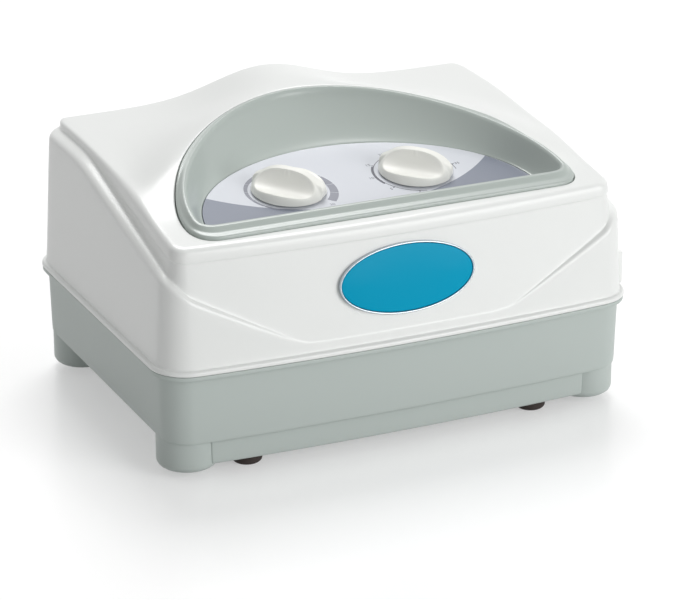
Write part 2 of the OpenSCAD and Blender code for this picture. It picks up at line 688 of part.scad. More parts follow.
// ---- rear fittings, in a frame on the rear wall: local z is outward, local y is down ----
inlet_hole = [27, 20];
inlet_flange = [31, 24];
rear_face = half_d - base_in_at(rear_z + inlet_flange[1] / 2) + 0.05;
rocker_hole = [19, 13];
rocker_flange = [22, 15.6];
intake_hole = [40, 18];
intake_plate = [46, 22];
fuse_r = 6;
plate_t = 1.8;
rear_fit = 0.1;
module rear_frame(x) { translate([x, rear_face, rear_z]) rotate([-90, 0, 0]) children(); }
module block(size, z) { translate([-size[0] / 2, -size[1] / 2, z]) cube([size[0], size[1], size[2]]); }
socket_depth = 15;
socket = [23, 16];
module inlet_body() {
    color([0.1, 0.1, 0.1]) rear_frame(inlet_x) difference() {
        union() {
            block([inlet_flange[0], inlet_flange[1], plate_t], 0);
            block([inlet_hole[0] - 2 * rear_fit, inlet_hole[1] - 2 * rear_fit, 18], -18 + eps);
        }
        block([socket[0], socket[1], 20], plate_t - socket_depth);
        for (p = inlet_pin_places) translate([p[0], p[1], -20]) block([2.2, 4.2, 10], 0);
    }
}
inlet_pin_places = [[-7, -2], [7, -2], [0, 2.5]];
module inlet_pins() {
    color("gold") rear_frame(inlet_x) for (p = inlet_pin_places) translate([p[0], p[1], 0])
        block([2, 4, 24], -24);
}
module fuse_holder() {
    color([0.1, 0.1, 0.1]) rear_frame(fuse_x) difference() {
        union() {
            cylinder(r = fuse_r + 2, h = plate_t);
            translate([0, 0, -22]) cylinder(r = fuse_r, h = 22 + eps);
        }
        translate([0, 0, plate_t - 0.9]) block([1.4, 9, 2], 0);
    }
}
rocker_tip = 8;
rocker_pin_r = 1;
rocker_len = 15;
rocker_wide = 9;
module rocker_body() {
    color([0.1, 0.1, 0.1]) rear_frame(rocker_x) difference() {
        union() {
            block([rocker_flange[0], rocker_flange[1], plate_t], 0);
            block([rocker_hole[0] - 2 * rear_fit, rocker_hole[1] - 2 * rear_fit, 16], -16 + eps);
            for (i = [-1, 1]) translate([i * 5, 0, 0]) block([0.8, 5, 24], -24);
        }
        block([rocker_len + 1.6, rocker_wide + 0.8, 20], -6.5);
        rotate([90, 0, 0]) translate([0, 0, -rocker_wide / 2 - 1.4])
            cylinder(r = rocker_pin_r + shaft_gap, h = rocker_wide + 2.8);
    }
}
module rocker() {
    half = rocker_len / 2;
    color([0.15, 0.15, 0.16]) rear_frame(rocker_x) rotate([0, -rocker_tip, 0]) {
        rotate([90, 0, 0]) translate([0, 0, -rocker_wide / 2]) {
            linear_extrude(rocker_wide) polygon([[-half, 2.1], [0, 1.2], [half, 2.1],
                [half - 0.6, -1], [3, -4], [-3, -4], [0.6 - half, -1]]);
            translate([0, 0, -1.1]) cylinder(r = rocker_pin_r, h = rocker_wide + 2.2);
        }
    }
}
slot_count = 7;
module filter_cover() {
    color([0.55, 0.58, 0.57]) rear_frame(intake_x) difference() {
        union() {
            block([intake_plate[0], intake_plate[1], plate_t], 0);
            block([intake_hole[0] - 2 * rear_fit, intake_hole[1] - 2 * rear_fit, wall + 3], -wall - 3 + eps);
        }
        block([intake_hole[0] - 4, intake_hole[1] - 4, wall + 4], -wall - 4);
        for (i = [0 : slot_count - 1])
            translate([(i - (slot_count - 1) / 2) * 5, 0, 0]) block([2.2, intake_hole[1] - 5, 10], -5);
    }
}
module air_filter() {
    color("dimgray") rear_frame(intake_x)
        block([intake_hole[0] - 4.6, intake_hole[1] - 4.6, wall + 2.5], -wall - 2.8);
}

// ---- compressor: axis along X, heads at both ends ----
bracket_t = 2;
leg_h = 5;
bracket_z = floor_top + leg_h;
comp_plate = 3;
comp_plate_h = diaphragm_d + 6;
diaphragm_t = 2;
rod_r = 3;
washer_r = 8;
washer_t = 2;
rod_end = 2.5;
// the rod's ends keep clear of the heads over the whole stroke
head_cavity = diaphragm_t + washer_t + rod_end + stroke + 4;
head_wall = 2;
head_t = head_cavity + head_wall;
plate_half = comp_w / 2 - comp_plate - head_t;
core_gap = 0.6;
arm_t = 9;
magnet = [14, arm_t, 22];
magnet_x = 13;
core_size = [44, 12, 30];
leg_w = 12;
core_y = arm_t / 2 + core_gap;
isolator_in = 8;
isolator_places = [for (x = [-1, 1], y = [-1, 1])
    [comp_x + x * (plate_half - isolator_in), comp_y + y * (comp_plate_h / 2 - isolator_in)]];
module at_comp() { translate([comp_x, comp_y, comp_z]) children(); }
module comp_bracket() {
    reach = plate_half + comp_plate;
    color("lightgray") difference() {
        union() {
            translate([comp_x, comp_y, bracket_z]) {
                block([2 * reach, comp_plate_h, bracket_t], 0);
                for (s = [-1, 1]) translate([s * (reach - comp_plate / 2), 0, 0])
                    block([comp_plate, comp_plate_h, comp_z - bracket_z + comp_plate_h / 2], 0);
                for (s = [-1, 1]) translate([0, s * (core_y + core_size[1] + 3), 0])
                    block([28, 5, comp_z - core_size[2] / 2 - bracket_z], 0);
            }
        }
        for (p = isolator_places) translate([p[0], p[1], bracket_z - 1]) cylinder(r = 2.5, h = 4);
        at_comp() rotate([0, 90, 0]) cylinder(r = washer_r + 3, h = 2 * comp_w, center = true);
        for (s = head_screw_places) translate([comp_x, comp_y + s[0], comp_z + s[1]]) rotate([0, 90, 0])
            cylinder(r = 1.3, h = 2 * comp_w, center = true);
    }
}
module comp_isolators() {
    color([0.15, 0.15, 0.15]) for (p = isolator_places) translate([p[0], p[1], floor_top]) {
        cylinder(r = 5, h = leg_h);
        translate([0, 0, leg_h - eps]) cylinder(r = 2.4, h = bracket_t + 0.6);
        translate([0, 0, leg_h + bracket_t + 0.1]) cylinder(r = 4, h = 1.5);
    }
}
// an E of stacked sheet, its legs towards the armature
module core(s) {
    color("slategray") at_comp() mirror([0, s < 0 ? 1 : 0, 0])
        translate([-core_size[0] / 2, core_y, -core_size[2] / 2]) difference() {
            cube([core_size[0], core_size[1] + 6, core_size[2]]);
            for (i = [0, 1]) translate([7 + i * (core_size[0] - 14 + leg_w) / 2, -1, -1])
                cube([(core_size[0] - 14 - leg_w) / 2, core_size[1] + 1, core_size[2] + 2]);
        }
}
module coil(s) {
    slot_w = (core_size[0] - 14 - leg_w) / 2;
    color("chocolate") at_comp() mirror([0, s < 0 ? 1 : 0, 0]) translate([0, core_y + 1.5, 0]) difference() {
        translate([-leg_w / 2 - slot_w + 0.5, 0, -core_size[2] / 2 - slot_w + 0.5])
            cube([leg_w + 2 * slot_w - 1, core_size[1] - 2.2, core_size[2] + 2 * slot_w - 1]);
        translate([-leg_w / 2 - 0.2, -1, -core_size[2] / 2 - 0.2])
            cube([leg_w + 0.4, core_size[1] + 2, core_size[2] + 0.4]);
    }
}
module armature() {
    reach = plate_half + comp_plate;
    color("gainsboro") at_comp() difference() {
        union() {
            rotate([0, 90, 0])
                cylinder(r = rod_r, h = 2 * (reach + diaphragm_t + washer_t + rod_end), center = true);
            block([core_size[0] + 8, arm_t, core_size[2]], -core_size[2] / 2);
            for (x = [reach - washer_t / 2 - 0.1, reach + diaphragm_t + washer_t / 2 + 0.3], s = [-1, 1])
                translate([s * x, 0, 0]) rotate([0, 90, 0])
                    cylinder(r = washer_r, h = washer_t - 0.4, center = true);
        }
        for (s = [-1, 1]) translate([s * magnet_x, 0, 0])
            block([magnet[0] + 0.1, 2 * arm_t, magnet[2] + 0.1], -magnet[2] / 2 - 0.05);
    }
}
module armature_magnets() {
    color("dimgray") at_comp() for (s = [-1, 1]) translate([s * magnet_x, 0, 0])
        block(magnet, -magnet[2] / 2);
}
module diaphragm(s) {
    color([0.15, 0.15, 0.15]) at_head(s) translate([0, 0, 0.1]) difference() {
        cylinder(r = diaphragm_d / 2 - 3, h = diaphragm_t);
        translate([0, 0, -1]) cylinder(r = rod_r + shaft_gap, h = diaphragm_t + 2);
    }
}
head_r = diaphragm_d / 2 + 2;
head_screw_places = [for (a = [45 : 90 : 315]) (diaphragm_d / 2 - 1) * [cos(a), sin(a)]];
// on a bracket plate: local z is outward along the compressor's axis
module at_head(s) {
    at_comp() mirror([s < 0 ? 1 : 0, 0, 0]) translate([plate_half + comp_plate, 0, 0])
        rotate([0, 90, 0]) children();
}
module head(s) {
    color("lightgray") at_head(s) difference() {
        union() {
            cylinder(r = head_r, h = head_t);
            translate([1 - head_r, 0, head_t - 5]) rotate([0, -90, 0])
                cylinder(r = hose_bore / 2, h = nipple_h + 1);
        }
        translate([0, 0, -1]) cylinder(r = diaphragm_d / 2 - 5, h = head_cavity + 1);
        translate([0, 0, -1]) cylinder(r = diaphragm_d / 2 - 2.8, h = diaphragm_t + 1.2);
        translate([3 - diaphragm_d / 2, 0, head_t - 5]) rotate([0, -90, 0])
            cylinder(r = hose_bore / 2 - 0.8, h = 30);
        for (p = head_screw_places) translate([p[1], p[0], -1]) cylinder(r = 1.3, h = head_t + 2);
    }
}
module head_screws() {
    color("silver") for (s = [-1, 1], p = head_screw_places) at_head(s) translate([p[1], p[0], 0]) {
        translate([0, 0, -comp_plate - 2]) cylinder(r = 1.2, h = head_t + comp_plate + 2 + eps);
        translate([0, 0, head_t]) cylinder(r = 2.4, h = 1.8);
    }
}

// ---- air distributor: a slow motor turns a ported disc ----
motor_r = 22;
motor_h = 16;
motor_z = floor_top + 3;
dist_z = motor_z + motor_h;
dist_h = 16;
disc_r = dist_d / 2 - 7;
disc_t = 4;
rotor_z = dist_z + dist_h + 0.3;
cover_h = 12;
dist_top = dist_z + dist_h + cover_h;
module at_dist() { translate([dist_x, dist_y, 0]) children(); }
module gear_motor() {
    color("silver") at_dist() difference() {
        union() {
            translate([0, 0, motor_z]) cylinder(r = motor_r, h = motor_h);
            for (a = [45 : 90 : 315]) rotate(a) translate([motor_r - 5, 0, floor_top]) cylinder(r = 3, h = 4);
        }
        translate([0, 0, dist_z - 8]) cylinder(r = shaft_d / 2 + shaft_gap, h = 10);
    }
}
dist_nipple_z = dist_z + dist_h - 6;
dist_ports = [for (i = [0 : port_count - 1]) -60 - 25 * i];
module dist_body() {
    color("beige") at_dist() difference() {
        union() {
            translate([0, 0, dist_z]) cylinder(r = dist_d / 2, h = dist_h);
            for (a = dist_ports) rotate(a) translate([dist_d / 2 - 1, 0, dist_nipple_z]) rotate([0, 90, 0])
                cylinder(r = hose_bore / 2, h = nipple_h + 1);
        }
        translate([0, 0, dist_z - 1]) cylinder(r = shaft_d / 2 + shaft_gap, h = dist_h + 2);
        for (a = dist_ports) rotate(a) translate([disc_r - 4, 0, dist_nipple_z]) {
            rotate([0, 90, 0]) cylinder(r = hose_bore / 2 - 0.8, h = 40);
            cylinder(r = hose_bore / 2 - 0.8, h = 10);
        }
    }
}
module dist_rotor() {
    color("white") at_dist() difference() {
        union() {
            translate([0, 0, dist_z - 7.5]) cylinder(r = shaft_d / 2, h = rotor_z - dist_z + 8);
            translate([0, 0, rotor_z]) cylinder(r = disc_r, h = disc_t);
        }
        for (a = [0 : 30 : 90]) rotate(a) translate([disc_r - 4, 0, rotor_z - 1])
            cylinder(r = 1.5, h = disc_t + 2);
    }
}
module dist_cover() {
    color("beige") at_dist() difference() {
        union() {
            translate([0, 0, dist_z + dist_h]) cylinder(r = dist_d / 2, h = cover_h);
            translate([0, 0, dist_top - 1]) cylinder(r = hose_bore / 2, h = nipple_h + 1);
        }
        translate([0, 0, dist_z + dist_h - 1]) cylinder(r = disc_r + 1, h = cover_h - 2);
        translate([0, 0, dist_z]) cylinder(r = hose_bore / 2 - 0.8, h = 60);
    }
}

// ---- terminal board and air hoses ----
board = [46, 34, 1.6];
board_x = 50;
board_y = -40;
board_lift = 6;
module terminal_board() {
    color("seagreen") translate([board_x - board[0] / 2, board_y - board[1] / 2, floor_top]) {
        translate([0, 0, board_lift]) cube(board);
        for (x = [5, board[0] - 5], y = [5, board[1] - 5]) translate([x, y, 0])
            cylinder(r = 2.5, h = board_lift + eps);
        translate([6, 10, board_lift + board[2] - eps]) cube([board[0] - 12, 10, 9]);
    }
}
hose_bore = 4.4;
hose_wall = 1;
hose_gap = 0.05;
hose_sides = 10;
nipple_h = 9;
seat_gap = 0.3;
function unit(v) = v / norm(v);
// a tube through the points of a route, with a bore that the nipples fit
module hose(route) {
    n = hose_sides;
    m = len(route);
    inner = (hose_bore / 2 + hose_gap) / cos(180 / n);
    function along(i) = i == 1 ? along(0) : i == m - 2 ? along(m - 1)
        : unit(route[min(i + 1, m - 1)] - route[max(i - 1, 0)]);
    function ring(i, r) = let (d = along(i), u = unit(cross(d, [0.13, 0.29, 0.2])), v = cross(d, u))
        [for (k = [0 : n - 1]) route[i] + r * (u * cos(360 * k / n) + v * sin(360 * k / n))];
    loft([for (i = [0 : m - 1]) ring(i, hose_bore / 2 + hose_wall),
        for (i = [m - 1 : -1 : 0]) ring(i, inner)]);
}
// straight over the nipple at each end, and one smooth curve between
function run(a, out_a, b, out_b, pull, steps) = let (p = a + out_a * nipple_h, q = b + out_b * nipple_h)
    concat([a], [for (i = [0 : steps])
        bezier([p, p + out_a * pull, q + out_b * pull, q], i / steps)], [b]);
UP = [0, 0, 1];
module outlet_hoses() {
    color("lightcyan") for (i = [0 : port_count - 1]) {
        out = [cos(dist_ports[i]), sin(dist_ports[i]), 0];
        from = [dist_x, dist_y, dist_nipple_z] + out * (dist_d / 2 + seat_gap);
        to = [case_side_x - port_depth - seat_gap, port_ys[i], outlet_z];
        hose(run(from, out, to, [-1, 0, 0], 0.32 * norm(to - from) - 4, 8));
    }
}
// a plenum collects the air of both heads
plenum = [60, 16, 22];
plenum_wall = 2;
plenum_x = -24;
plenum_y = 50;
plenum_pitch = 14;
plenum_top = floor_top + plenum[2];
function plenum_port(i) = [plenum_x + (i - 1.5) * plenum_pitch, plenum_y, plenum_top];
module air_plenum() {
    color("beige") difference() {
        union() {
            translate([plenum_x - plenum[0] / 2, plenum_y - plenum[1] / 2, floor_top]) cube(plenum);
            for (i = [0 : 3]) translate(plenum_port(i) - UP) cylinder(r = hose_bore / 2, h = nipple_h + 1);
        }
        translate([plenum_x, plenum_y, floor_top + plenum_wall])
            block([plenum[0] - 2 * plenum_wall, plenum[1] - 2 * plenum_wall, plenum[2] - 2 * plenum_wall], 0);
        for (i = [0 : 3]) translate(plenum_port(i) - 3 * UP) cylinder(r = hose_bore / 2 - 0.8, h = 20);
    }
}
module supply_hoses() {
    color("lightcyan") for (i = [0, 1]) {
        x = comp_x + (i == 0 ? -1 : 1) * (plate_half + comp_plate + head_t - 5);
        hose(run([x, comp_y, comp_z + head_r + seat_gap], UP, plenum_port(i) + UP * seat_gap, UP, 20, 9));
    }
}
module feed_hose() {
    color("lightcyan")
        hose(run(plenum_port(3) + UP * seat_gap, UP, [dist_x, dist_y, dist_top + seat_gap], UP, 24, 9));
}
module regulator_hose() {
    to = [knob_pitch / 2 + reg_r + seat_gap, knob_y - reg_port * sin(panel_tilt),
        panel_at(knob_y) + reg_port * cos(panel_tilt)];
    color("lightcyan") hose(run(plenum_port(2) + UP * seat_gap, UP, to, [1, 0, 0], 56, 12));
}

base_tray();
upper_case();
hood_bezel();
control_panel();
badge_rim();
badge();
foot(0);  // foot_front_left
foot(1);  // foot_front_right
foot(2);  // foot_rear_left
foot(3);  // foot_rear_right
foot_screws();
case_screws();
rating_plate();
timer_knob();
timer_shaft();
timer_body();
pressure_knob();
pressure_spindle();
regulator_body();
shaft_nuts();
outlet_block();
outlet_nipples();
outlet_screws();
inlet_body();
inlet_pins();
fuse_holder();
rocker_body();
rocker();
filter_cover();
air_filter();
comp_bracket();
comp_isolators();
core(-1);  // core_front
core(1);  // core_rear
coil(-1);  // coil_front
coil(1);  // coil_rear
armature();
armature_magnets();
diaphragm(-1);  // diaphragm_left
diaphragm(1);  // diaphragm_right
head(-1);  // head_left
head(1);  // head_right
head_screws();
gear_motor();
dist_body();
dist_rotor();
dist_cover();
terminal_board();
air_plenum();
supply_hoses();
feed_hose();
regulator_hose();
outlet_hoses();
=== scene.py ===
# Compression therapy pump: white upper case on a grey base tray, with a hooded recess for two knobs.
# Lengths in the dictionaries are millimetres, apart from the camera's, the floor's and the lamps',
# which are metres. Meshes are made in metres, over the loaded frame.
import json
import math

import bmesh
import bpy
from mathutils import Matrix, Vector


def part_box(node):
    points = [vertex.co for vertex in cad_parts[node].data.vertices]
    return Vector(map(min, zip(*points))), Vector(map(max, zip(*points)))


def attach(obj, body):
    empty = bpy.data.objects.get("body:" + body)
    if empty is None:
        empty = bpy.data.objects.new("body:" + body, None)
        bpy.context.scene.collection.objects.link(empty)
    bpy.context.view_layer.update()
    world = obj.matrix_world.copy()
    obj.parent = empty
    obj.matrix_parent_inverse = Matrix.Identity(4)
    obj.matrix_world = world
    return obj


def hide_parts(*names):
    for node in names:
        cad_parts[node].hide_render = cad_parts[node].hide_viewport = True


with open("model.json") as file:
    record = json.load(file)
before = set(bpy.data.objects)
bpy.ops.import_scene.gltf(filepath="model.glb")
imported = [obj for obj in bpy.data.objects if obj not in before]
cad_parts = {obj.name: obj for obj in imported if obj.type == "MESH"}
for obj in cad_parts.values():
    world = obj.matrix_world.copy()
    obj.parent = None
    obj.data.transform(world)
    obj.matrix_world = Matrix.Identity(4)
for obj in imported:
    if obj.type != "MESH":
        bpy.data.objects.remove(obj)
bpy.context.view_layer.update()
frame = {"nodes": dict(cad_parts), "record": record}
nodes = frame["nodes"]
mm = 0.001
print("frame loaded:", len(nodes), "nodes")

caseLow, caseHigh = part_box("upper_case")
halfWidth = caseHigh.x / mm
halfDepth = caseHigh.y / mm
partZ = caseLow.z / mm


# helpers for shapes
def mix(a, b, t):
    return a + (b - a) * t


def smooth(low, high, value):
    t = min(max((value - low) / (high - low), 0), 1)
    return t * t * (3 - 2 * t)


def eased(y, low, high):
    # y up to where the rise starts to flatten, level past where it has flattened
    if y < low:
        return y
    if y < high:
        return y - (y - low) ** 2 / (2 * (high - low))
    return (low + high) / 2


def bezier(p, t):
    s = 1 - t
    return p[0] * s**3 + p[1] * 3 * t * s * s + p[2] * 3 * t * t * s + p[3] * t**3


def whole(half):
    # a full ring from its right half, front centre to rear centre
    left = [Vector((-p.x, *p[1:])) for p in half[-2:0:-1]]
    return list(half) + left


roundingShare = 0.9  # of the way to a plain neighbour, and half of it to a rounded one


def roundPath(corners):
    # each corner is a point, a radius and how many points go round it
    points = []
    for number, (point, radius, count) in enumerate(corners):
        if not radius:
            points.append(point)
            continue
        ends = []
        for other in (corners[number - 1], corners[number + 1]):
            way = other[0] - point
            room = way.length * (roundingShare / 2 if other[1] else roundingShare)
            ends.append(point + way.normalized() * min(radius, room))
        start, end = ends
        for step in range(count):
            t = step / (count - 1)
            points.append(start * (1 - t) ** 2 + point * (2 * t * (1 - t)) + end * t * t)
    return points


# helpers for Blender
def selectOnly(piece):
    bpy.ops.object.select_all(action="DESELECT")
    piece.select_set(True)
    bpy.context.view_layer.objects.active = piece


def ringLoft(name, rings, closed=False):
    # a ring of edges, extruded from one outline to the next; the ends are bridged when closed, else capped
    bpy.ops.object.select_all(action="DESELECT")
    bpy.ops.mesh.primitive_circle_add(vertices=len(rings[0]), radius=1)
    piece = bpy.context.object
    piece.name = name
    bpy.ops.object.mode_set(mode="EDIT")
    shape = bmesh.from_edit_mesh(piece.data)
    place = shape.verts.layers.int.new("place")
    row = shape.verts.layers.int.new("row")
    for number, vert in enumerate(shape.verts):
        vert[place] = number
    for number, ring in enumerate(rings):
        if number:
            bpy.ops.mesh.extrude_region_move()
            shape = bmesh.from_edit_mesh(piece.data)
            place = shape.verts.layers.int["place"]
            row = shape.verts.layers.int["row"]
        for vert in shape.verts:
            if vert.select:
                vert.co = ring[vert[place]] * mm
                vert[row] = number
        bmesh.update_edit_mesh(piece.data)
    ends = [(0, len(rings) - 1)] if closed else [(0,), (len(rings) - 1,)]
    for pair in ends:
        bpy.ops.mesh.select_mode(type="VERT")
        bpy.ops.mesh.select_all(action="DESELECT")
        shape = bmesh.from_edit_mesh(piece.data)
        row = shape.verts.layers.int["row"]
        for vert in shape.verts:
            vert.select = vert[row] in pair
        shape.select_flush_mode()
        bmesh.update_edit_mesh(piece.data)
        if closed:
            bpy.ops.mesh.bridge_edge_loops()
        else:
            bpy.ops.mesh.edge_face_add()
    bpy.ops.mesh.select_all(action="SELECT")
    bpy.ops.mesh.normals_make_consistent(inside=False)
    bpy.ops.object.mode_set(mode="OBJECT")
    for layer in ("place", "row"):
        piece.data.attributes.remove(piece.data.attributes[layer])
    return piece


def subdivided(piece, levels):
    selectOnly(piece)
    bpy.ops.object.modifier_add(type="SUBSURF")
    piece.modifiers[-1].levels = levels
    piece.modifiers[-1].render_levels = levels
    bpy.ops.object.modifier_apply(modifier=piece.modifiers[-1].name)
    bpy.ops.object.shade_smooth()
    return piece


rounding = {"segments": 3, "angle": math.radians(35)}


def bevelled(piece, width):
    # rounds the edges that turn by more than the angle
    selectOnly(piece)
    bpy.ops.object.modifier_add(type="BEVEL")
    bevel = piece.modifiers[-1]
    bevel.width = width * mm
    bevel.segments = rounding["segments"]
    bevel.limit_method = "ANGLE"
    bevel.angle_limit = rounding["angle"]
    bevel.harden_normals = False
    bpy.ops.object.modifier_apply(modifier=bevel.name)
    bpy.ops.object.shade_smooth_by_angle(angle=rounding["angle"])
    return piece


def boxOf(name, low, high):
    # a cube between two corners
    bpy.ops.object.select_all(action="DESELECT")
    middle = (low + high) / 2
    bpy.ops.mesh.primitive_cube_add(size=1, location=middle * mm)
    piece = bpy.context.object
    piece.name = name
    piece.scale = (high - low) * mm
    bpy.ops.object.transform_apply(location=True, rotation=True, scale=True)
    return piece


def carve(piece, cutter, keep=False):
    selectOnly(piece)
    bpy.ops.object.modifier_add(type="BOOLEAN")
    cut = piece.modifiers[-1]
    cut.operation = "DIFFERENCE"
    cut.solver = "EXACT"
    cut.object = cutter
    bpy.ops.object.modifier_apply(modifier=cut.name)
    if not keep:
        bpy.data.objects.remove(cutter)


def joined(name, pieces):
    bpy.ops.object.select_all(action="DESELECT")
    for piece in pieces:
        piece.select_set(True)
    bpy.context.view_layer.objects.active = pieces[0]
    bpy.ops.object.join()
    pieces[0].name = name
    return pieces[0]


weld = {"gap": 0.01, "flatTurn": 1}  # corners this near become one, and faces that turn less do too


def mergedCopy(node, name):
    # a copy of a node's mesh with its loose triangles merged into flat faces
    piece = bpy.data.objects.new(name, nodes[node].data.copy())
    bpy.context.scene.collection.objects.link(piece)
    piece.data.materials.clear()
    selectOnly(piece)
    bpy.ops.object.mode_set(mode="EDIT")
    bpy.ops.mesh.select_all(action="SELECT")
    bpy.ops.mesh.customdata_custom_splitnormals_clear()
    bpy.ops.mesh.remove_doubles(threshold=weld["gap"] * mm)
    bpy.ops.mesh.dissolve_limited(angle_limit=math.radians(weld["flatTurn"]))
    bpy.ops.object.mode_set(mode="OBJECT")
    return piece


# finishes
def linear(level):
    level = level / 255
    return level / 12.92 if level < 0.04045 else ((level + 0.055) / 1.055) ** 2.4


# what a finish has where its own look says nothing else
plainLook = {
    "grain": 900,
    "detail": 3,
    "cloud": 14,
    "mottle": 0.02,
    "uneven": 0.03,
    "bump": 0.05,
    "bumpDepth": 0.1,
    "metal": 0,
    "coat": 0,
    "coatRough": 0.15,
    "shine": 0.5,
    "clear": 0,
}


def finish(name, look):
    # one procedural material: colour mottling, uneven gloss and a fine bump
    look = {**plainLook, **look}
    material = bpy.data.materials.new(name)
    material.use_nodes = True
    tree = material.node_tree
    shader = tree.nodes["Principled BSDF"]
    colour = [linear(level) for level in look["colour"]]
    where = tree.nodes.new("ShaderNodeTexCoord")
    grain = tree.nodes.new("ShaderNodeTexNoise")
    grain.inputs["Scale"].default_value = look["grain"]
    grain.inputs["Detail"].default_value = look["detail"]
    cloud = tree.nodes.new("ShaderNodeTexNoise")
    cloud.inputs["Scale"].default_value = look["cloud"]
    for noise in (grain, cloud):
        tree.links.new(where.outputs["Object"], noise.inputs["Vector"])
    tint = tree.nodes.new("ShaderNodeMix")
    tint.data_type = "RGBA"
    shift = 1 - look["mottle"]
    tint.inputs["A"].default_value = (*[c * shift for c in colour], 1)
    tint.inputs["B"].default_value = (*colour, 1)
    tree.links.new(cloud.outputs["Fac"], tint.inputs["Factor"])
    tree.links.new(tint.outputs["Result"], shader.inputs["Base Color"])
    gloss = tree.nodes.new("ShaderNodeMapRange")
    gloss.inputs["To Min"].default_value = look["rough"] - look["uneven"]
    gloss.inputs["To Max"].default_value = look["rough"] + look["uneven"]
    tree.links.new(cloud.outputs["Fac"], gloss.inputs["Value"])
    tree.links.new(gloss.outputs["Result"], shader.inputs["Roughness"])
    bump = tree.nodes.new("ShaderNodeBump")
    bump.inputs["Strength"].default_value = look["bump"]
    bump.inputs["Distance"].default_value = look["bumpDepth"] * mm
    tree.links.new(grain.outputs["Fac"], bump.inputs["Height"])
    tree.links.new(bump.outputs["Normal"], shader.inputs["Normal"])
    shader.inputs["Metallic"].default_value = look["metal"]
    shader.inputs["Coat Weight"].default_value = look["coat"]
    shader.inputs["Coat Roughness"].default_value = look["coatRough"]
    shader.inputs["Specular IOR Level"].default_value = look["shine"]
    shader.inputs["Transmission Weight"].default_value = look["clear"]
    return material


looks = {
    "white_case": {"colour": (238, 240, 238), "rough": 0.3, "bump": 0.04, "grain": 1400, "coat": 0.15},
    "grey_base": {"colour": (187, 196, 192), "rough": 0.42, "bump": 0.12, "grain": 1800},
    "grey_hood": {"colour": (178, 187, 182), "rough": 0.3, "bump": 0.05, "grain": 1600, "coat": 0.2},
    "panel_plate": {"colour": (218, 221, 228), "rough": 0.35, "bump": 0.04, "grain": 1500},
    "knob_ivory": {"colour": (247, 247, 241), "rough": 0.42, "bump": 0.04, "grain": 1500},
    "badge_blue": {"colour": (0, 160, 198), "rough": 0.3, "bump": 0.02, "shine": 0.08, "mottle": 0.06},
    "badge_silver": {"colour": (178, 186, 192), "rough": 0.2, "metal": 1, "bump": 0.03},
    "foot_rubber": {"colour": (46, 36, 32), "rough": 0.7, "bump": 0.3, "grain": 1200},
    "steel": {"colour": (176, 178, 180), "rough": 0.32, "metal": 1, "bump": 0.15, "mottle": 0.08},
    "plate_aluminium": {"colour": (212, 214, 216), "rough": 0.38, "metal": 1, "bump": 0.12},
    "dark_plastic": {"colour": (38, 38, 40), "rough": 0.45, "bump": 0.25, "grain": 1500},
    "brass": {"colour": (196, 164, 92), "rough": 0.28, "metal": 1, "bump": 0.1},
    "white_nylon": {"colour": (228, 228, 220), "rough": 0.45, "bump": 0.1},
    "filter_felt": {"colour": (96, 98, 98), "rough": 0.95, "bump": 0.9, "grain": 2600, "mottle": 0.3},
    "core_iron": {"colour": (92, 95, 100), "rough": 0.5, "metal": 0.8, "bump": 0.5, "grain": 2400},
    "coil_copper": {"colour": (178, 98, 52), "rough": 0.35, "metal": 0.9, "bump": 0.6, "grain": 2600},
    "pump_aluminium": {"colour": (186, 189, 192), "rough": 0.45, "metal": 1, "bump": 0.4, "grain": 1300},
    "board_green": {"colour": (38, 110, 74), "rough": 0.4, "bump": 0.2, "mottle": 0.15},
    "clear_hose": {"colour": (216, 224, 226), "rough": 0.22, "bump": 0.05, "clear": 0.5},
}
finishes = {slot: finish(slot, look) for slot, look in looks.items()}
nodeSlots = {}
for part in frame["record"]["subparts"]:
    if part.get("material_slot"):
        nodeSlots[part["node"]] = part["material_slot"]


def dress(piece, slot, carrier, node):
    # gives a finished piece its material and the body that carries it, and hides the node that it stands
    # for
    piece.data.materials.clear()
    piece.data.materials.append(finishes[slot])
    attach(piece, carrier)
    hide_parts(node)
    return piece


# camera, floor and light; the camera was fitted to the photo's straight edges, corners and base line
camera = {"place": (-0.58092, -1.2645, 0.59672), "tilt": 68.257, "turn": -24.843, "lens": 168.02}
bpy.ops.object.select_all(action="DESELECT")
bpy.ops.object.camera_add(
    location=camera["place"],
    rotation=(math.radians(camera["tilt"]), 0, math.radians(camera["turn"])),
)
bpy.context.object.data.lens = camera["lens"]
bpy.context.scene.camera = bpy.context.object
bpy.context.scene.view_settings.view_transform = "Standard"

studio = {"floorSize": 6, "floorColour": 0.68, "floorGlow": 0.4, "floorRough": 0.25, "sky": 0.36}


def whiteToCamera(tree, shader, plain, glow):
    # a shader that looks brighter to the camera and in reflections than it lights
    path = tree.nodes.new("ShaderNodeLightPath")
    seen = path.outputs["Is Camera Ray"]
    for ray in ("Is Glossy Ray", "Is Transmission Ray"):
        either = tree.nodes.new("ShaderNodeMath")
        either.operation = "MAXIMUM"
        tree.links.new(seen, either.inputs[0])
        tree.links.new(path.outputs[ray], either.inputs[1])
        seen = either.outputs[0]
    level = tree.nodes.new("ShaderNodeMapRange")
    level.inputs["To Min"].default_value = plain
    level.inputs["To Max"].default_value = glow
    tree.links.new(seen, level.inputs["Value"])
    tree.links.new(level.outputs["Result"], shader)


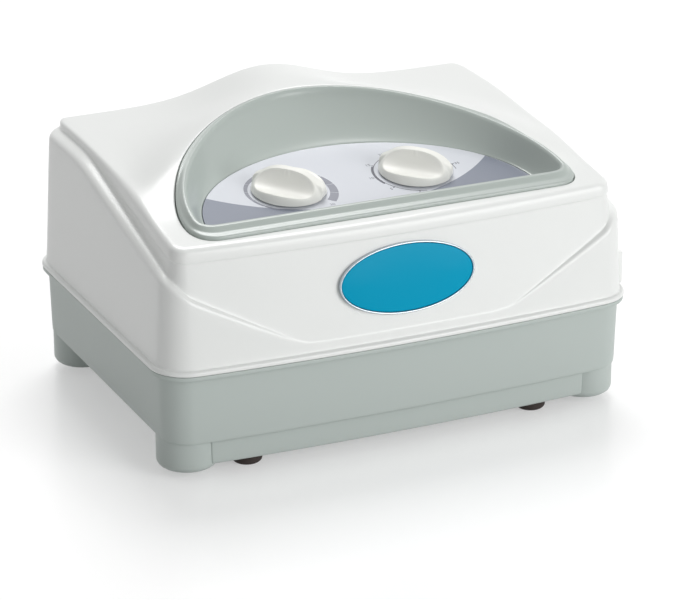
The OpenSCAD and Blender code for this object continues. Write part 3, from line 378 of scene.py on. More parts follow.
bpy.ops.mesh.primitive_plane_add(size=studio["floorSize"])
floor = bpy.context.object
floor.name = "studioFloor"
floorFinish = bpy.data.materials.new("studioFloor")
floorFinish.use_nodes = True
floorTree = floorFinish.node_tree
floorShader = floorTree.nodes["Principled BSDF"]
floorShader.inputs["Base Color"].default_value = (*[studio["floorColour"]] * 3, 1)
floorShader.inputs["Roughness"].default_value = studio["floorRough"]
floorShader.inputs["Emission Color"].default_value = (1, 1, 1, 1)
whiteToCamera(floorTree, floorShader.inputs["Emission Strength"], 0, studio["floorGlow"])
floor.data.materials.append(floorFinish)

world = bpy.data.worlds.new("studioWorld")
world.use_nodes = True
bpy.context.scene.world = world
background = world.node_tree.nodes["Background"]
background.inputs["Color"].default_value = (1, 1, 1, 1)
whiteToCamera(world.node_tree, background.inputs["Strength"], studio["sky"], 1)

lamps = [
    {"name": "backLamp", "place": (0.35, 0.95, 1.75), "size": 0.9, "power": 19.8},
    {"name": "frontLamp", "place": (0.95, -1.8, 0.7), "size": 1.2, "power": 22},
]
for lamp in lamps:
    bpy.ops.object.light_add(type="AREA", location=lamp["place"])
    light = bpy.context.object
    light.name = lamp["name"]
    light.data.size = lamp["size"]
    light.data.energy = lamp["power"]
    light.rotation_euler = (-Vector(lamp["place"])).to_track_quat("-Z", "Y").to_euler()
print("camera, floor and lamps set")


# plan of the body
body = {
    "cornerRadius": 16,
    "leastRadius": 1,
    "frontBow": 5.3,
    "wall": 2.5,
    "columns": (10, 7, 12, 6, 10),  # front half, front corner, side, rear corner, rear half
}
sideFront = body["frontBow"] + body["cornerRadius"] - halfDepth
sideRear = halfDepth - body["cornerRadius"]


def planColumns():
    # each column: share of the flat width, share of the way to the rear, outward normal
    front, corner, side, back, rear = body["columns"]
    quarter = math.pi / 2
    turns = [quarter * (i / corner - 1) for i in range(corner)]
    columns = [(i / front, 0, 0, -1) for i in range(front)]
    columns += [(1, 0, math.cos(a), math.sin(a)) for a in turns]
    columns += [(1, i / side, 1, 0) for i in range(side)]
    turns = [quarter * i / back for i in range(back)]
    columns += [(1, 1, math.cos(a), math.sin(a)) for a in turns]
    columns += [(1 - i / (rear - 1), 1, 0, 1) for i in range(rear)]
    return columns


columns = planColumns()


def bowed(x, y):
    # the front half is stretched so that its middle bows out
    stretch = body["frontBow"] / (halfDepth - body["frontBow"]) * (1 - (x / halfWidth) ** 2)
    return y * (1 + stretch) if y < 0 else y


def wallPoint(column, z, front, side, rear):
    # an inset deeper than the corner radius keeps a small radius and moves the corner in
    share, along, nx, ny = column
    radius = body["cornerRadius"]
    cut = radius - body["leastRadius"]
    sideCut, frontCut, rearCut = min(side, cut), min(front, cut), min(rear, cut)
    x = share * (halfWidth - radius - side + sideCut) + nx * (radius - sideCut)
    y = mix(sideFront + front - frontCut, sideRear - rear + rearCut, along)
    y += ny * (radius - (frontCut if ny < 0 else rearCut))
    return Vector((x, bowed(x, y), z))


# the case, the hood on it and the panel inside the hood
case = {
    "beadHeight": 2.4,
    "beadIn": 2.3,
    "beadRound": 1.1,
    "cheekDraft": 0.048,
    "cheekHeight": 109.4,
    "cheekSlope": 0.22,
    "cheekFront": 32,
    "cheekFrontSlope": 0.525,
    "cheekRound": 3,
    "shelfRise": 1,
    "frontLean": 0.145,
    "sideLean": 0.12,
    "sideIn": 4.1,
    "deckHeight": 118.4,
    "deckSlope": 0.14,
    "deckFlat": (0, 60),  # where the deck's rise starts to flatten and where it is level
    "edgeRound": 3,
    "bandHeight": 6.5,
    "bandStep": 0.6,
    "bandRamp": 0.6,
    "bandLeast": 0.7,
    "bandFade": (2, 5),
    "cheekLeast": 4,
    "cheekClear": 2,
    "creases": (0.4, 0.5, 0.35, 0.25, 0.3, 0.4),  # parting edge, bead, shelf, band's foot, band's top, hood
    "deckShares": (0.12, 0.3, 0.5, 0.7, 0.88),
    "innerShares": (1, 0.88, 0.5, 0.12),
    "innerDrop": 2,
    "innerShelf": 1,
    "innerCheek": 0.6,
    "collar": 16,
    "collarPower": 1.7,
    "collarFade": (-52, -5),
    "ridge": 34,
    "ridgeFade": (-10, 30),
    "smoothTurn": math.radians(50),
}
hood = {
    "crestIn": 26.2,
    "widestY": -55,
    "rearY": 41,
    "frontY": -62,
    "crestHeight": 126.5,
    "crestSlope": 0.213,
    "crestFlat": (24, 66),
    "footFront": 7,
    "footSide": 3.8,
    "footRear": 0.8,
    "neckIn": 0.3,
    "neckDrop": 0.6,
    "neckWall": 3,
    "neckUnder": (1, 2.8),
    "flank": ((0, 0.34, 0.8), (0.52, 0.5, 0.7), (0.86, 0.97, 0.6)),  # share in, share up, rounding
    "crestRound": (0.45, 0.1),
    "lip": (2, 1.5, 2),  # inset at the sides, front and rear, as for the wall
    "lipDrop": 0.5,
    "lipRound": 0.7,
    "wall": (3.2, 2.4, 3.2),
    "wallDrop": 3,
    "hollow": ((0.3, 1.2), (0.6, 1.7), (0.85, 1.1)),  # share of the way down the inner wall, sag
    "panelLip": (0.15, 0.3),
    "ledge": 5,
    "ledgeThick": 2,
    "ledgeGap": 0.05,
    "corner": 9,
    "arch": (0.46, 0.44),
    "gap": 0.3,
}
panel = {
    "height": 111.5,
    "slope": 0.128,
    "thick": 2,
    "edgeIn": 10.3,
    "widestY": -52,
    "rearY": 14.5,
    "frontY": -58.8,
    "arch": (0.5, 0.62),
}
hoodHalf = halfWidth - hood["crestIn"]
beadTop = partZ + case["beadHeight"]


def deckAt(y):
    return case["deckHeight"] + case["deckSlope"] * eased(y, *case["deckFlat"])


def crestAt(y):
    return hood["crestHeight"] + hood["crestSlope"] * eased(y, *hood["crestFlat"])


def panelAt(y):
    return panel["height"] + panel["slope"] * y


def topAt(x, y):
    # the deck rises in a collar round the arch and a ridge behind it
    over = max(y - hood["widestY"], 0.01)  # never none, so that the reach below is never none either
    reach = math.hypot(x, over)
    power = case["collarPower"]
    a = hoodHalf + hood["footSide"]
    b = hood["rearY"] - hood["widestY"]
    edge = ((abs(x) / reach / a) ** power + (over / reach / b) ** power) ** (-1 / power)
    collar = math.exp(-((max(reach - edge, 0) / case["collar"]) ** 2)) * smooth(*case["collarFade"], y)
    ridge = math.exp(-((x / case["ridge"]) ** 2)) * smooth(*case["ridgeFade"], y)
    rise = crestAt(y) - deckAt(y)
    return deckAt(y) + rise * (collar + ridge - collar * ridge)


noseShare = 0.6  # of a front corner that its curve runs straight on before it bends


def moon(halfAcross, widestY, rearY, frontY, corner, arch):
    # right half of a half moon with a straight front, one point for each column
    frontCount, cornerCount = body["columns"][:2]
    archCount = len(columns) - frontCount - cornerCount
    flat = halfAcross - corner
    drop = widestY - frontY
    rise = rearY - widestY
    nose = [Vector(p) for p in ((flat, frontY), (flat + corner * noseShare, frontY))]
    nose += [Vector(p) for p in ((halfAcross, widestY - drop * noseShare), (halfAcross, widestY))]
    bow = [Vector(p) for p in ((halfAcross, widestY), (halfAcross, widestY + rise * arch[1]))]
    bow += [Vector(p) for p in ((halfAcross * arch[0], rearY), (0, rearY))]
    points = [Vector((flat * i / frontCount, frontY)) for i in range(frontCount)]
    points += [bezier(nose, i / cornerCount) for i in range(cornerCount)]
    points += [bezier(bow, i / (archCount - 1)) for i in range(archCount)]
    return points


def hoodMoon(outSide, outFront, outRear):
    rear, front = hood["rearY"] + outRear, hood["frontY"] - outFront
    return moon(hoodHalf + outSide, hood["widestY"], rear, front, hood["corner"] + outSide, hood["arch"])


def panelMoon(grow):
    widest = panel["widestY"] + max(-grow, 0)
    rear, front = panel["rearY"] + grow, panel["frontY"] - grow
    corner = hood["corner"] + max(grow, 0)
    return moon(hoodHalf - panel["edgeIn"] + grow, widest, rear, front, corner, panel["arch"])


def footMoon(inset):
    return hoodMoon(hood["footSide"] - inset, hood["footFront"] - inset, hood["footRear"] - inset)


opening = footMoon(0)


# the upper case: bead, cheeks with their shelf, leaning upper walls, band, deck
def cheekIn(z):
    return case["beadIn"] + case["cheekDraft"] * (z - partZ)


def lowWall(column, z, more=0):
    inset = cheekIn(z) + more
    return wallPoint(column, z, inset, inset, inset)


def upperIn(z):
    up = z - beadTop
    front = max(case["beadIn"] + case["frontLean"] * up, cheekIn(z))
    return front, max(case["sideIn"] + case["sideLean"] * up, cheekIn(z)), cheekIn(z)


def highWall(column, z, more=0):
    return wallPoint(column, z, *[inset + more for inset in upperIn(z)])


def deckEdge(column):
    front = case["beadIn"] + case["frontLean"] * (deckAt(-halfDepth) - beadTop)
    side = case["sideIn"] + case["sideLean"] * (deckAt(-halfDepth / 2) - beadTop)
    rear = case["beadIn"] + case["cheekDraft"] * (deckAt(halfDepth) - beadTop)
    point = wallPoint(column, 0, front, side, rear)
    return topAt(point.x, point.y)


def cheekTop(column):
    point = wallPoint(column, 0, 0, 0, 0)
    side = case["cheekHeight"] + case["cheekSlope"] * point.y
    front = case["cheekFront"] + case["cheekFrontSlope"] * abs(point.x)
    line = side if column[1] > 0 else mix(side, front, smooth(0, 1, -column[3]))
    highest = deckEdge(column) - case["edgeRound"] - case["cheekClear"]
    return min(max(line, beadTop + case["cheekLeast"]), highest)


def deckPoint(column, rim, t, drop):
    # between the case's edge and the hood; the inner face starts a third of its drop further in
    start = highWall(column, deckEdge(column), case["edgeRound"] + drop / 3)
    x, y = mix(start.x, rim.x, t), mix(start.y, rim.y, t)
    return Vector((x, y, topAt(x, y) - drop))


def caseSection(column, rim):
    # up the outside, over the deck to the hood, and back down the inside
    wall = body["wall"]
    edge = deckEdge(column)
    cheek = cheekTop(column)
    shelf = cheek + case["shelfRise"]
    band = max(edge - case["bandHeight"], shelf + case["bandLeast"])
    step = case["bandStep"] * smooth(*case["bandFade"], band - cheek)
    parting, bead, shelfFoot, bandFoot, bandTop, hoodFoot = case["creases"]
    corners = [
        (wallPoint(column, partZ, 0, 0, 0), parting, 2),
        (wallPoint(column, beadTop, 0, 0, 0), case["beadRound"], 3),
        (lowWall(column, beadTop), bead, 2),
        (lowWall(column, cheek), case["cheekRound"], 4),
        (highWall(column, shelf), shelfFoot, 2),
        (highWall(column, band), bandFoot, 2),
        (highWall(column, band + case["bandRamp"], -step), bandTop, 2),
        (highWall(column, edge, -step), case["edgeRound"], 4),
    ]
    corners += [(deckPoint(column, rim, t, 0), 0, 1) for t in case["deckShares"]]
    corners += [(deckPoint(column, rim, 1, 0), hoodFoot, 2)]
    corners += [(deckPoint(column, rim, t, wall), 0, 1) for t in case["innerShares"]]
    corners += [(highWall(column, edge - wall - case["innerDrop"], wall), 0, 1)]
    corners += [(highWall(column, cheek + case["innerShelf"], wall), 0, 1)]
    corners += [(lowWall(column, cheek - case["cheekRound"] - wall * case["innerCheek"], wall), 0, 1)]
    corners += [(lowWall(column, partZ, wall), 0, 1)]
    return roundPath(corners)


def loftOf(sections):
    return [whole(ring) for ring in zip(*sections)]


caseShell = ringLoft("caseShell", loftOf(map(caseSection, columns, opening)), closed=True)
subdivided(caseShell, 2)
outletLow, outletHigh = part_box("outlet_block")
nippleLow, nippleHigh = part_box("outlet_nipples")
window = {"sideIn": 4.1, "over": 0.6, "out": 2}  # the outlets' hole, against the block and the nipples
windowLow = outletLow / mm + Vector((0, window["sideIn"], 0))
windowLow.z = nippleLow.z / mm - window["over"]
windowHigh = outletHigh / mm - Vector((0, window["sideIn"], 0))
windowHigh.x = halfWidth + window["out"]
windowHigh.z = nippleHigh.z / mm + window["over"]
carve(caseShell, boxOf("window", windowLow, windowHigh))
bpy.ops.object.shade_smooth_by_angle(angle=case["smoothTurn"])
dress(caseShell, "white_case", "casing", "upper_case")
print("upper case done")


# the hood's rim: a flat foot, a steep band, a rounded crest, a hollow inner wall and the panel ledge
rimMoons = {
    "neck": footMoon(hood["neckIn"]),
    "crest": hoodMoon(0, 0, 0),
    "lip": hoodMoon(*[-inset for inset in hood["lip"]]),
    "wall": hoodMoon(*[-inset for inset in hood["wall"]]),
    "panel": panelMoon(hood["gap"]),
    "ledge": panelMoon(-hood["ledge"]),
    "back": panelMoon(body["wall"]),
    "innerNeck": footMoon(hood["neckWall"]),
}


def rimSection(i):
    # up the outer flank, over the crest, down the hollow inner wall, and back under the panel
    wall = body["wall"]
    neck, crest, lip, inner = [rimMoons[k][i] for k in ("neck", "crest", "lip", "wall")]
    edge, ledge, back, innerNeck = [rimMoons[k][i] for k in ("panel", "ledge", "back", "innerNeck")]
    foot = topAt(*neck)
    top = crestAt(crest.y)

    def rise(along, up):
        flat = neck.lerp(crest, along)
        return Vector((*flat, mix(foot, top, up)))

    def inward(t, sag):
        flat = inner.lerp(edge, t)
        return Vector((*flat, mix(crestAt(inner.y) - hood["wallDrop"], panelAt(edge.y), t) - sag))

    across, over = hood["crestRound"]
    lipUp, lipRound = hood["panelLip"]
    under = panel["thick"] + hood["ledgeGap"]
    below = under + hood["ledgeThick"]
    outerUnder, innerUnder = hood["neckUnder"]
    corners = [(Vector((*neck, foot - wall - outerUnder)), 0, 1)]
    corners += [(Vector((*neck, foot - hood["neckDrop"])), 0, 1)]
    corners += [(rise(along, up), radius, 3) for along, up, radius in hood["flank"]]
    corners += [
        (Vector((*crest.lerp(lip, across), top + over)), 0, 1),
        (Vector((*lip, crestAt(lip.y) - hood["lipDrop"])), hood["lipRound"], 3),
        (Vector((*inner, crestAt(inner.y) - hood["wallDrop"])), 1, 2),
    ]
    corners += [(inward(*place), 0, 1) for place in hood["hollow"]]
    corners += [
        (Vector((*edge, panelAt(edge.y) + lipUp)), lipRound, 2),
        (Vector((*edge, panelAt(edge.y) - under)), 0, 1),
        (Vector((*ledge, panelAt(ledge.y) - under)), 0, 1),
        (Vector((*ledge, panelAt(ledge.y) - below)), 0, 1),
        (Vector((*back, panelAt(back.y) - below)), 0, 1),
        (Vector((*innerNeck, topAt(*innerNeck) - wall - innerUnder)), 0, 1),
    ]
    return roundPath(corners)


hoodRim = ringLoft("hoodRim", loftOf(map(rimSection, range(len(columns)))), closed=True)
subdivided(hoodRim, 2)
dress(hoodRim, "grey_hood", "casing", "hood_bezel")
print("hood rim done")


# the base tray: lip, drafted wall, recessed bands with hand grips, corner posts
tray = {
    "lipHeight": 2,
    "lipIn": 0.3,
    "wallIn": 3.2,
    "draft": 0.02,
    "step": 18,
    "belly": 6,
    "floor": 3,
    "floorIn": 22,
    "bandIn": 3,
    "bandSlope": (1.6, 0.4),  # inner and outer face
    "gripIn": 20,
    "topGap": 0.05,
    "innerRounds": (0.6, 0.6, 1, 0.2),  # floor, band, step, top
    "outerRounds": (0.35, 0.4, 0.5, 2, 0.8, 1.6),  # lip's top and foot, wall's head, step, band, belly
    "postRadius": 14,
    "postCore": 3,
    "postColumns": 48,
    "postTurns": (-90, -65, -40, -15, 0),
    "postZ": 3.5,
    "postRound": 3.2,
    "postStraight": 22,
    "postTaper": 0.6,
    "postTop": (6, 5),  # below the parting line, at the rim and at the core
    "bossRadius": 6.5,
    "bossGap": (0.5, 0.1),
    "wellRadius": 4,
    "wellEnds": (-1, 30),
    "frontScrew": (84, -67.8),
    "holeReach": 9,
    "smoothTurn": math.radians(40),
}


def trayIn(z):
    return tray["wallIn"] + tray["draft"] * (partZ - z)


def traySection(column):
    # down from the floor's edge inside, round the lip, and down the outside to the floor's edge again
    def at(z, inset, more=0, grip=0):
        return wallPoint(column, z, inset + more, inset + more + grip, inset + more)

    wall = body["wall"]
    lip, step, belly = partZ - tray["lipHeight"], tray["step"], tray["belly"]
    low = trayIn(step)
    grip = tray["gripIn"] - tray["bandIn"]
    band = low + tray["bandIn"]
    top = partZ - tray["topGap"]
    floor, innerBand, innerStep, innerTop = tray["innerRounds"]
    lipTop, lipFoot, wallHead, outerStep, outerBand, outerBelly = tray["outerRounds"]
    innerSlope, outerSlope = tray["bandSlope"]
    corners = [
        (at(belly + tray["floor"], band, wall + tray["floorIn"], grip), 0, 1),
        (at(belly + tray["floor"], band, wall, grip), floor, 2),
        (at(step + innerSlope, band, wall, grip), innerBand, 2),
        (at(step + wall, low, wall), innerStep, 2),
        (at(top, tray["wallIn"], wall), innerTop, 2),
        (at(top, tray["lipIn"]), lipTop, 3),
        (at(lip, tray["lipIn"]), lipFoot, 3),
        (at(lip, tray["wallIn"]), wallHead, 2),
        (at(step, low), outerStep, 4),
        (at(step + outerSlope, band, 0, grip), outerBand, 2),
        (at(belly, band, 0, grip), outerBelly, 3),
        (at(belly, band, tray["floorIn"], grip), 0, 1),
    ]
    return roundPath(corners)


def lathe(name, middle, profile, around=32):
    # a turned solid: the profile gives radius and height from one end to the other
    turns = [math.tau * i / around for i in range(around)]
    ways = [Vector((math.cos(a), math.sin(a), 0)) for a in turns]
    rings = [[Vector((*middle, z)) + way * radius for way in ways] for radius, z in profile]
    return ringLoft(name, rings)


trayShell = subdivided(ringLoft("trayShell", loftOf(map(traySection, columns))), 2)
postIn = trayIn(tray["step"]) + tray["postRadius"]
postYs = (body["frontBow"] + postIn - halfDepth, halfDepth - postIn)
postPlaces = [(x * (halfWidth - postIn), y) for x in (-1, 1) for y in postYs]
postProfile = [(tray["postCore"], tray["postZ"])]
for turn in tray["postTurns"]:
    lean = math.radians(turn)
    bulge = tray["postRadius"] - tray["postRound"] * (1 - math.cos(lean))
    postProfile.append((bulge, tray["postZ"] + tray["postRound"] * (1 + math.sin(lean))))
postRim, postCap = [partZ - drop for drop in tray["postTop"]]
postProfile += [(tray["postRadius"], tray["postStraight"])]
postProfile += [(tray["postRadius"] - tray["postTaper"], postRim), (tray["postCore"], postCap)]
trayPieces = [trayShell]
for place in postPlaces:
    post = lathe("post", place, postProfile, tray["postColumns"])
    bpy.ops.object.shade_smooth_by_angle(angle=tray["smoothTurn"])
    trayPieces.append(post)
screwPlaces = [(x * tray["frontScrew"][0], tray["frontScrew"][1]) for x in (-1, 1)]
screwPlaces += [place for place in postPlaces if place[1] > 0]
bossEnds = (tray["belly"] + tray["bossGap"][0], partZ - tray["bossGap"][1])
bossProfile = [(tray["bossRadius"], z) for z in bossEnds]
wellProfile = [(tray["wellRadius"], z) for z in tray["wellEnds"]]
trayPieces += [lathe("boss", place, bossProfile) for place in screwPlaces]
wells = joined("wells", [lathe("well", place, wellProfile) for place in screwPlaces])
for piece in trayPieces:
    carve(piece, wells, keep=True)
bpy.data.objects.remove(wells)
# width and height of the rear wall's holes; the fuse holder's round flange leaves its hole's corners bare
rearHoles = {
    "inlet_body": (27, 20),
    "rocker_body": (19, 13),
    "filter_cover": (40, 18),
    "fuse_holder": (12.2, 12.2),
}
holes = []
for node, size in rearHoles.items():
    low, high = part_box(node)
    middle = (low + high) / 2 / mm
    reach = Vector((size[0] / 2, tray["holeReach"], size[1] / 2))
    middle.y = halfDepth - trayIn(middle.z)
    holes.append(boxOf("hole", middle - reach, middle + reach))
carve(trayShell, joined("holes", holes))
relief = {"height": 7, "out": 1.6, "root": 2, "gap": 0.1, "round": 1.2}  # the pad below the outlets
reliefRoot = halfWidth - tray["wallIn"] - relief["root"]
reliefTop = partZ - tray["lipHeight"]
reliefLow = Vector((reliefRoot, outletLow.y / mm, reliefTop - relief["height"]))
reliefHigh = Vector((halfWidth - relief["out"], outletHigh.y / mm, reliefTop - relief["gap"]))
trayPieces.append(bevelled(boxOf("relief", reliefLow, reliefHigh), relief["round"]))
joined("trayShell", trayPieces)
bpy.ops.object.shade_smooth_by_angle(angle=tray["smoothTurn"])
dress(trayShell, "grey_base", "casing", "base_tray")
print("base tray done")


# the control panel keeps its plate; its print is a pale field on blue-grey, with the dials' marks
panelTilt = math.atan(panel["slope"])
onPanel = Matrix.Translation((0, 0, panel["height"] * mm)) @ Matrix.Rotation(panelTilt, 4, "X")
dials = {
    "pitch": 64,
    "y": -23,
    "arcInner": 18.8,
    "arcWidth": (0.8, 4.2),
    "arcTurn": (235, -46),
    "segments": 12,
    "segmentGap": 1,
    "stepTurn": 3,
    "ink": 0.05,
    "numberSize": 2.7,
    "numberAt": 22.4,
    "arcNumber": {"digits": "30", "past": 8, "out": 0.5},
    "tick": (19.4, 20.7),
    "tickTurn": 0.8,
    "pressureLine": (19.4, 19.7),
    "pressureBand": (19.4, 20.6),
    "pressureTurn": (260, -10),
    "bandTurn": (200, 148),
    "numberStep": 5,
    "numberTurns": range(250, 4, -35),
}


def dialMiddle(side):
    return Vector((side * dials["pitch"] / 2, dials["y"] / math.cos(panelTilt), 0))


def dialWay(turn):
    angle = math.radians(turn)
    return Vector((math.cos(angle), math.sin(angle), 0))


def inkBand(name, middle, turns, inner, outer):
    # a thin printed strip round a dial; inner and outer radius are each a pair, start and end
    steps = max(int(abs(turns[1] - turns[0]) / dials["stepTurn"]), 2)
    rings = []
    for step in range(steps + 1):
        t = step / steps
        way = dialWay(mix(*turns, t))
        near, far = middle + way * mix(*inner, t), middle + way * mix(*outer, t)
        up = Vector((0, 0, dials["ink"]))
        rings.append([near, far, far + up, near + up])
    return ringLoft(name, rings)


def evenBand(name, middle, turns, radii):
    return inkBand(name, middle, turns, *[(radius, radius) for radius in radii])


def number(digits, place):
    bpy.ops.object.select_all(action="DESELECT")
    bpy.ops.object.text_add(location=place * mm)
    piece = bpy.context.object
    piece.data.body = digits
    piece.data.size = dials["numberSize"] * mm
    piece.data.align_x = "CENTER"
    piece.data.align_y = "CENTER"
    piece.data.extrude = dials["ink"] / 2 * mm
    bpy.ops.object.convert(target="MESH")
    bpy.ops.object.transform_apply(location=True, rotation=True, scale=True)
    return piece


def printed(name, pieces, inkFinish):
    marks = joined(name, pieces)
    marks.matrix_world = onPanel
    selectOnly(marks)
    bpy.ops.object.transform_apply(location=True, rotation=True, scale=True)
    marks.data.materials.clear()
    marks.data.materials.append(inkFinish)
    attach(marks, "casing")
    return marks


timerInk = finish("timerInk", {"colour": (138, 140, 152), "rough": 0.4, "bump": 0.02})
pressureInk = finish("pressureInk", {"colour": (92, 94, 106), "rough": 0.4, "bump": 0.02})
middle = dialMiddle(-1)
first, last = dials["arcTurn"]
span = (first - last) / dials["segments"]
marks = []
for i in range(dials["segments"]):
    turns = (first - span * i, first - span * (i + 1) + dials["segmentGap"])
    widths = [mix(*dials["arcWidth"], (i + k) / dials["segments"]) for k in (0, 1)]
    outer = [dials["arcInner"] + width for width in widths]
    marks.append(inkBand("mark", middle, turns, [dials["arcInner"]] * 2, outer))
arcNumber = dials["arcNumber"]
arcPlace = middle + dialWay(last - arcNumber["past"]) * (dials["numberAt"] + arcNumber["out"])
marks.append(number(arcNumber["digits"], arcPlace))
printed("timerMarks", marks, timerInk)

middle = dialMiddle(1)
marks = [evenBand("line", middle, dials["pressureTurn"], dials["pressureLine"])]
marks.append(evenBand("band", middle, dials["bandTurn"], dials["pressureBand"]))
for i, turn in enumerate(dials["numberTurns"]):
    ends = (turn - dials["tickTurn"], turn + dials["tickTurn"])
    marks.append(evenBand("tick", middle, ends, dials["tick"]))
    marks.append(number(str(i * dials["numberStep"]), middle + dialWay(turn) * dials["numberAt"]))
printed("pressureMarks", marks, pressureInk)

plate = finish("panelPrint", looks["panel_plate"])
plateTree = plate.node_tree
plateShader = plateTree.nodes["Principled BSDF"]
field = {"middle": 51.8, "radius": 99.3, "edge": 0.05, "outside": (130, 136, 151)}
where = plateTree.nodes.new("ShaderNodeTexCoord")
flat = plateTree.nodes.new("ShaderNodeMapping")
flat.inputs["Location"].default_value = (0, -field["middle"] * mm, 0)
flat.inputs["Scale"].default_value = (1, 1, 0)
away = plateTree.nodes.new("ShaderNodeVectorMath")
away.operation = "LENGTH"
edge = plateTree.nodes.new("ShaderNodeMapRange")
edge.inputs["From Min"].default_value = (field["radius"] - field["edge"]) * mm
edge.inputs["From Max"].default_value = (field["radius"] + field["edge"]) * mm
tone = plateTree.nodes.new("ShaderNodeMix")
tone.data_type = "RGBA"
paint = plateShader.inputs["Base Color"].links[0].from_socket
tone.inputs["B"].default_value = (*[linear(level) for level in field["outside"]], 1)
plateTree.links.new(where.outputs["Object"], flat.inputs["Vector"])
plateTree.links.new(flat.outputs["Vector"], away.inputs[0])
plateTree.links.new(away.outputs["Value"], edge.inputs["Value"])
plateTree.links.new(edge.outputs["Result"], tone.inputs["Factor"])
plateTree.links.new(paint, tone.inputs["A"])
plateTree.links.new(tone.outputs["Result"], plateShader.inputs["Base Color"])
print("panel print done")


# a knob: a domed skirt with a raised bar across it and a finger scoop on each side of the bar
knob = {
    "radius": 17.4,
    "lift": 0.6,
    "height": 10.9,
    "crown": 0.018,
    "barHalf": 2.15,
    "barFlank": 3.2,
    "barEnd": 1.4,
    "skirt": (11.8, 2.6, 0.62),  # height of the dome that the skirt belongs to, and its two powers
    "scoopFloor": 3.75,
    "scoopRound": 8,
    "scoopRise": 12,
    "underBar": 6,  # how fast the scoop's surface climbs under the bar, where the bar's own top wins
    "blend": (0.55, 0.5),  # between scoop and body, and between skirt and bar
    "least": 0.4,
    "columns": 168,
    "rings": 40,
    "ringPower": 1.25,  # above 1 the rings stand closer together towards the rim
    "nutHole": 7.5,
    "nutDepth": 3.2,
    "holeChamfer": 0.2,
    "shaftHole": 3.1,
    "shaftDepth": 7.8,
    "foot": ((0.5, 0), (0.1, 0.1)),
    "turns": {"timer": -45, "pressure": -40},
}


def softMin(a, b, soft):
    return min(a, b) - max(soft - abs(a - b), 0) ** 2 / (4 * soft)


def quarter(radius, inward):
    # drop of a quarter circle, from none at its top to the radius at its end
    return radius - math.sqrt(max(radius**2 - min(max(inward, 0), radius) ** 2, 0))


def knobTop(x, y):
    reach = math.hypot(x, y)
    dome, first, second = knob["skirt"]
    skirt = dome * max(1 - (reach / knob["radius"]) ** first, 0) ** second
    away = abs(y) - knob["barHalf"]
    crown = knob["height"] - knob["crown"] * reach**2
    end = quarter(knob["barEnd"], reach - knob["radius"] + knob["barEnd"])
    bar = crown - knob["barFlank"] * max(away, 0) - end
    solid = -softMin(-skirt, -bar, knob["blend"][1])
    bend, rise = knob["scoopRound"], knob["scoopRise"]
    scoop = knob["scoopFloor"] + quarter(bend, bend - away) + max(away - bend, 0) ** 2 / (2 * rise)
    scoop += max(-away, 0) * knob["underBar"]
    return softMin(scoop, solid, knob["blend"][0])


def knobMesh(name):
    turns = [math.tau * i / knob["columns"] for i in range(knob["columns"])]
    out = [Vector((math.cos(a), math.sin(a), 0)) for a in turns]
    radius, lift = knob["radius"], knob["lift"]
    shaft, nut, deep = knob["shaftHole"], knob["nutHole"], knob["nutDepth"]
    chamfer = knob["holeChamfer"]
    inside = [(shaft, knob["shaftDepth"]), (shaft, deep), (nut, deep)]
    inside += [(nut, lift + chamfer), (nut + chamfer, lift)]
    inside += [(radius - inset, lift + up) for inset, up in knob["foot"]]
    rings = [[way * r + Vector((0, 0, z)) for way in out] for r, z in inside]
    count = knob["rings"]
    for ring in range(count):
        r = radius * (1 - (ring / count) ** knob["ringPower"])
        tops = [max(knobTop(way.x * r, way.y * r), lift + knob["least"]) for way in out]
        rings.append([Vector((way.x * r, way.y * r, top)) for way, top in zip(out, tops)])
    return subdivided(ringLoft(name, rings), 1)


for side, (dial, turn) in zip((-1, 1), knob["turns"].items()):
    if side < 0:
        piece = knobMesh(dial + "Knob")
        plainKnob = piece.data.copy()
    else:
        piece = bpy.data.objects.new(dial + "Knob", plainKnob)
        bpy.context.scene.collection.objects.link(piece)
    place = Matrix.Translation(dialMiddle(side) * mm)
    piece.matrix_world = onPanel @ place @ Matrix.Rotation(math.radians(turn), 4, "Z")
    selectOnly(piece)
    bpy.ops.object.transform_apply(location=True, rotation=True, scale=True)
    dress(piece, "knob_ivory", dial + "_dial", dial + "_knob")
print("knobs done")


# badge on the leaning front: a domed field in a thin bright rim
badge = {
    "width": 67,
    "height": 32.5,
    "rim": 1.15,
    "z": 81.8,
    "gap": 0.1,
    "thick": 1.6,
    "dome": 0.7,
    "skirt": 0.7,
    "columns": 96,
    "rimTuck": 0.05,
    "rimOuter": ((0, 0.4), (0.04, 1.35)),
    "rimTop": ((0.24, 0.18), (0.5, 0.28), (0.76, 0.16)),  # share of the rim's width, height over the face
    "rimBehind": 0.03,
    "fieldDrop": 0.3,
    "fieldRound": (0.1, 0.2),
    "fieldShares": (0.08, 0.2, 0.35, 0.5, 0.65, 0.8, 0.92),
}


def frontAt(z):
    return bowed(0, body["frontBow"] + upperIn(z)[0] - halfDepth)


badgeTilt = math.atan(frontAt(badge["z"] + 1) - frontAt(badge["z"]))
onBadge = Matrix.Translation((0, (frontAt(badge["z"]) - badge["gap"]) * mm, badge["z"] * mm))
onBadge = onBadge @ Matrix.Rotation(math.pi / 2 - badgeTilt, 4, "X")


def ovalRing(inset, z):
    a, b = badge["width"] / 2 - inset, badge["height"] / 2 - inset
    turns = [math.tau * i / badge["columns"] for i in range(badge["columns"])]
    return [Vector((a * math.cos(t), b * math.sin(t), z)) for t in turns]


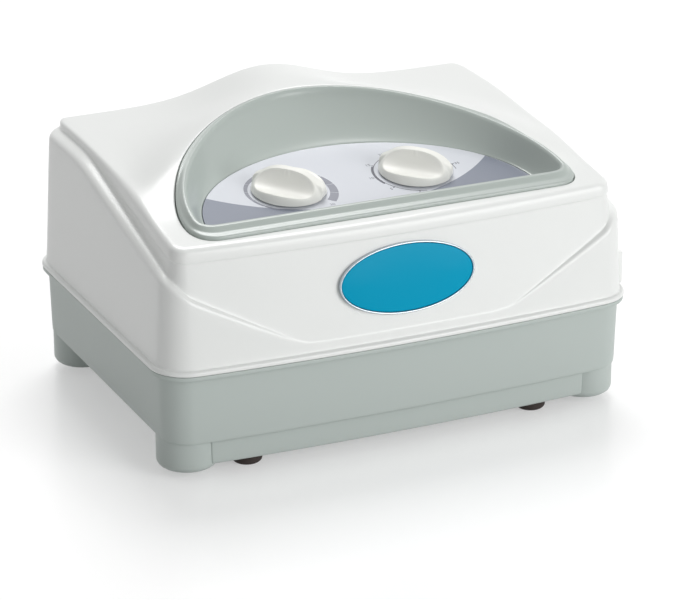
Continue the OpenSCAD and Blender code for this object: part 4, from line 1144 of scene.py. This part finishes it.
def onBadgePlane(piece, slot, node):
    subdivided(piece, 1)
    piece.matrix_world = onBadge
    bpy.ops.object.transform_apply(location=True, rotation=True, scale=True)
    return dress(piece, slot, "casing", node)


# both profiles give an inset from the badge's outline and a height over its plane
rim, thick, behind = badge["rim"], badge["thick"], badge["rimBehind"]
face = thick - badge["fieldDrop"]
rimProfile = [(badge["rimTuck"], -badge["skirt"]), *badge["rimOuter"]]
rimProfile += [(rim * share, thick + up) for share, up in badge["rimTop"]]
rimProfile += [(rim - behind, face), (rim - behind, -badge["skirt"])]
badgeRim = ringLoft("badgeRim", [ovalRing(*step) for step in rimProfile], closed=True)
onBadgePlane(badgeRim, "badge_silver", "badge_rim")
roundIn, roundUp = badge["fieldRound"]
fieldProfile = [(rim, -badge["skirt"]), (rim, face - roundUp), (rim + roundIn, face)]
for t in badge["fieldShares"]:
    inset = rim + (badge["height"] / 2 - rim) * t
    fieldProfile.append((inset, face + badge["dome"] * (1 - (1 - t) ** 2)))
badgeField = ringLoft("badgeField", [ovalRing(*step) for step in fieldProfile])
onBadgePlane(badgeField, "badge_blue", "badge")
print("badge done")


# moulded fittings: each node's own mesh with its corners rounded, by this much
fittings = {
    "outlet_block": 0.9,
    "outlet_nipples": 0.25,
    "outlet_screws": 0.25,
    "foot_front_left": 0.5,
    "foot_front_right": 0.5,
    "foot_rear_left": 0.5,
    "foot_rear_right": 0.5,
    "foot_screws": 0.2,
    "inlet_body": 0.5,
    "inlet_pins": 0.25,
    "fuse_holder": 0.4,
    "rocker_body": 0.5,
    "filter_cover": 0.4,
    "rating_plate": 0.15,
}
for node, width in fittings.items():
    words = node.split("_")
    piece = mergedCopy(node, words[0] + "".join(word.capitalize() for word in words[1:]))
    bevelled(piece, width)
    dress(piece, nodeSlots[node], "casing", node)
rocker = bevelled(mergedCopy("rocker", "rockerCap"), 0.5)
dress(rocker, nodeSlots["rocker"], "switch_rocker", "rocker")
print("fittings done")

for node, piece in nodes.items():
    for slot in piece.material_slots:
        slot.material = plate if node == "control_panel" else finishes[nodeSlots[node]]
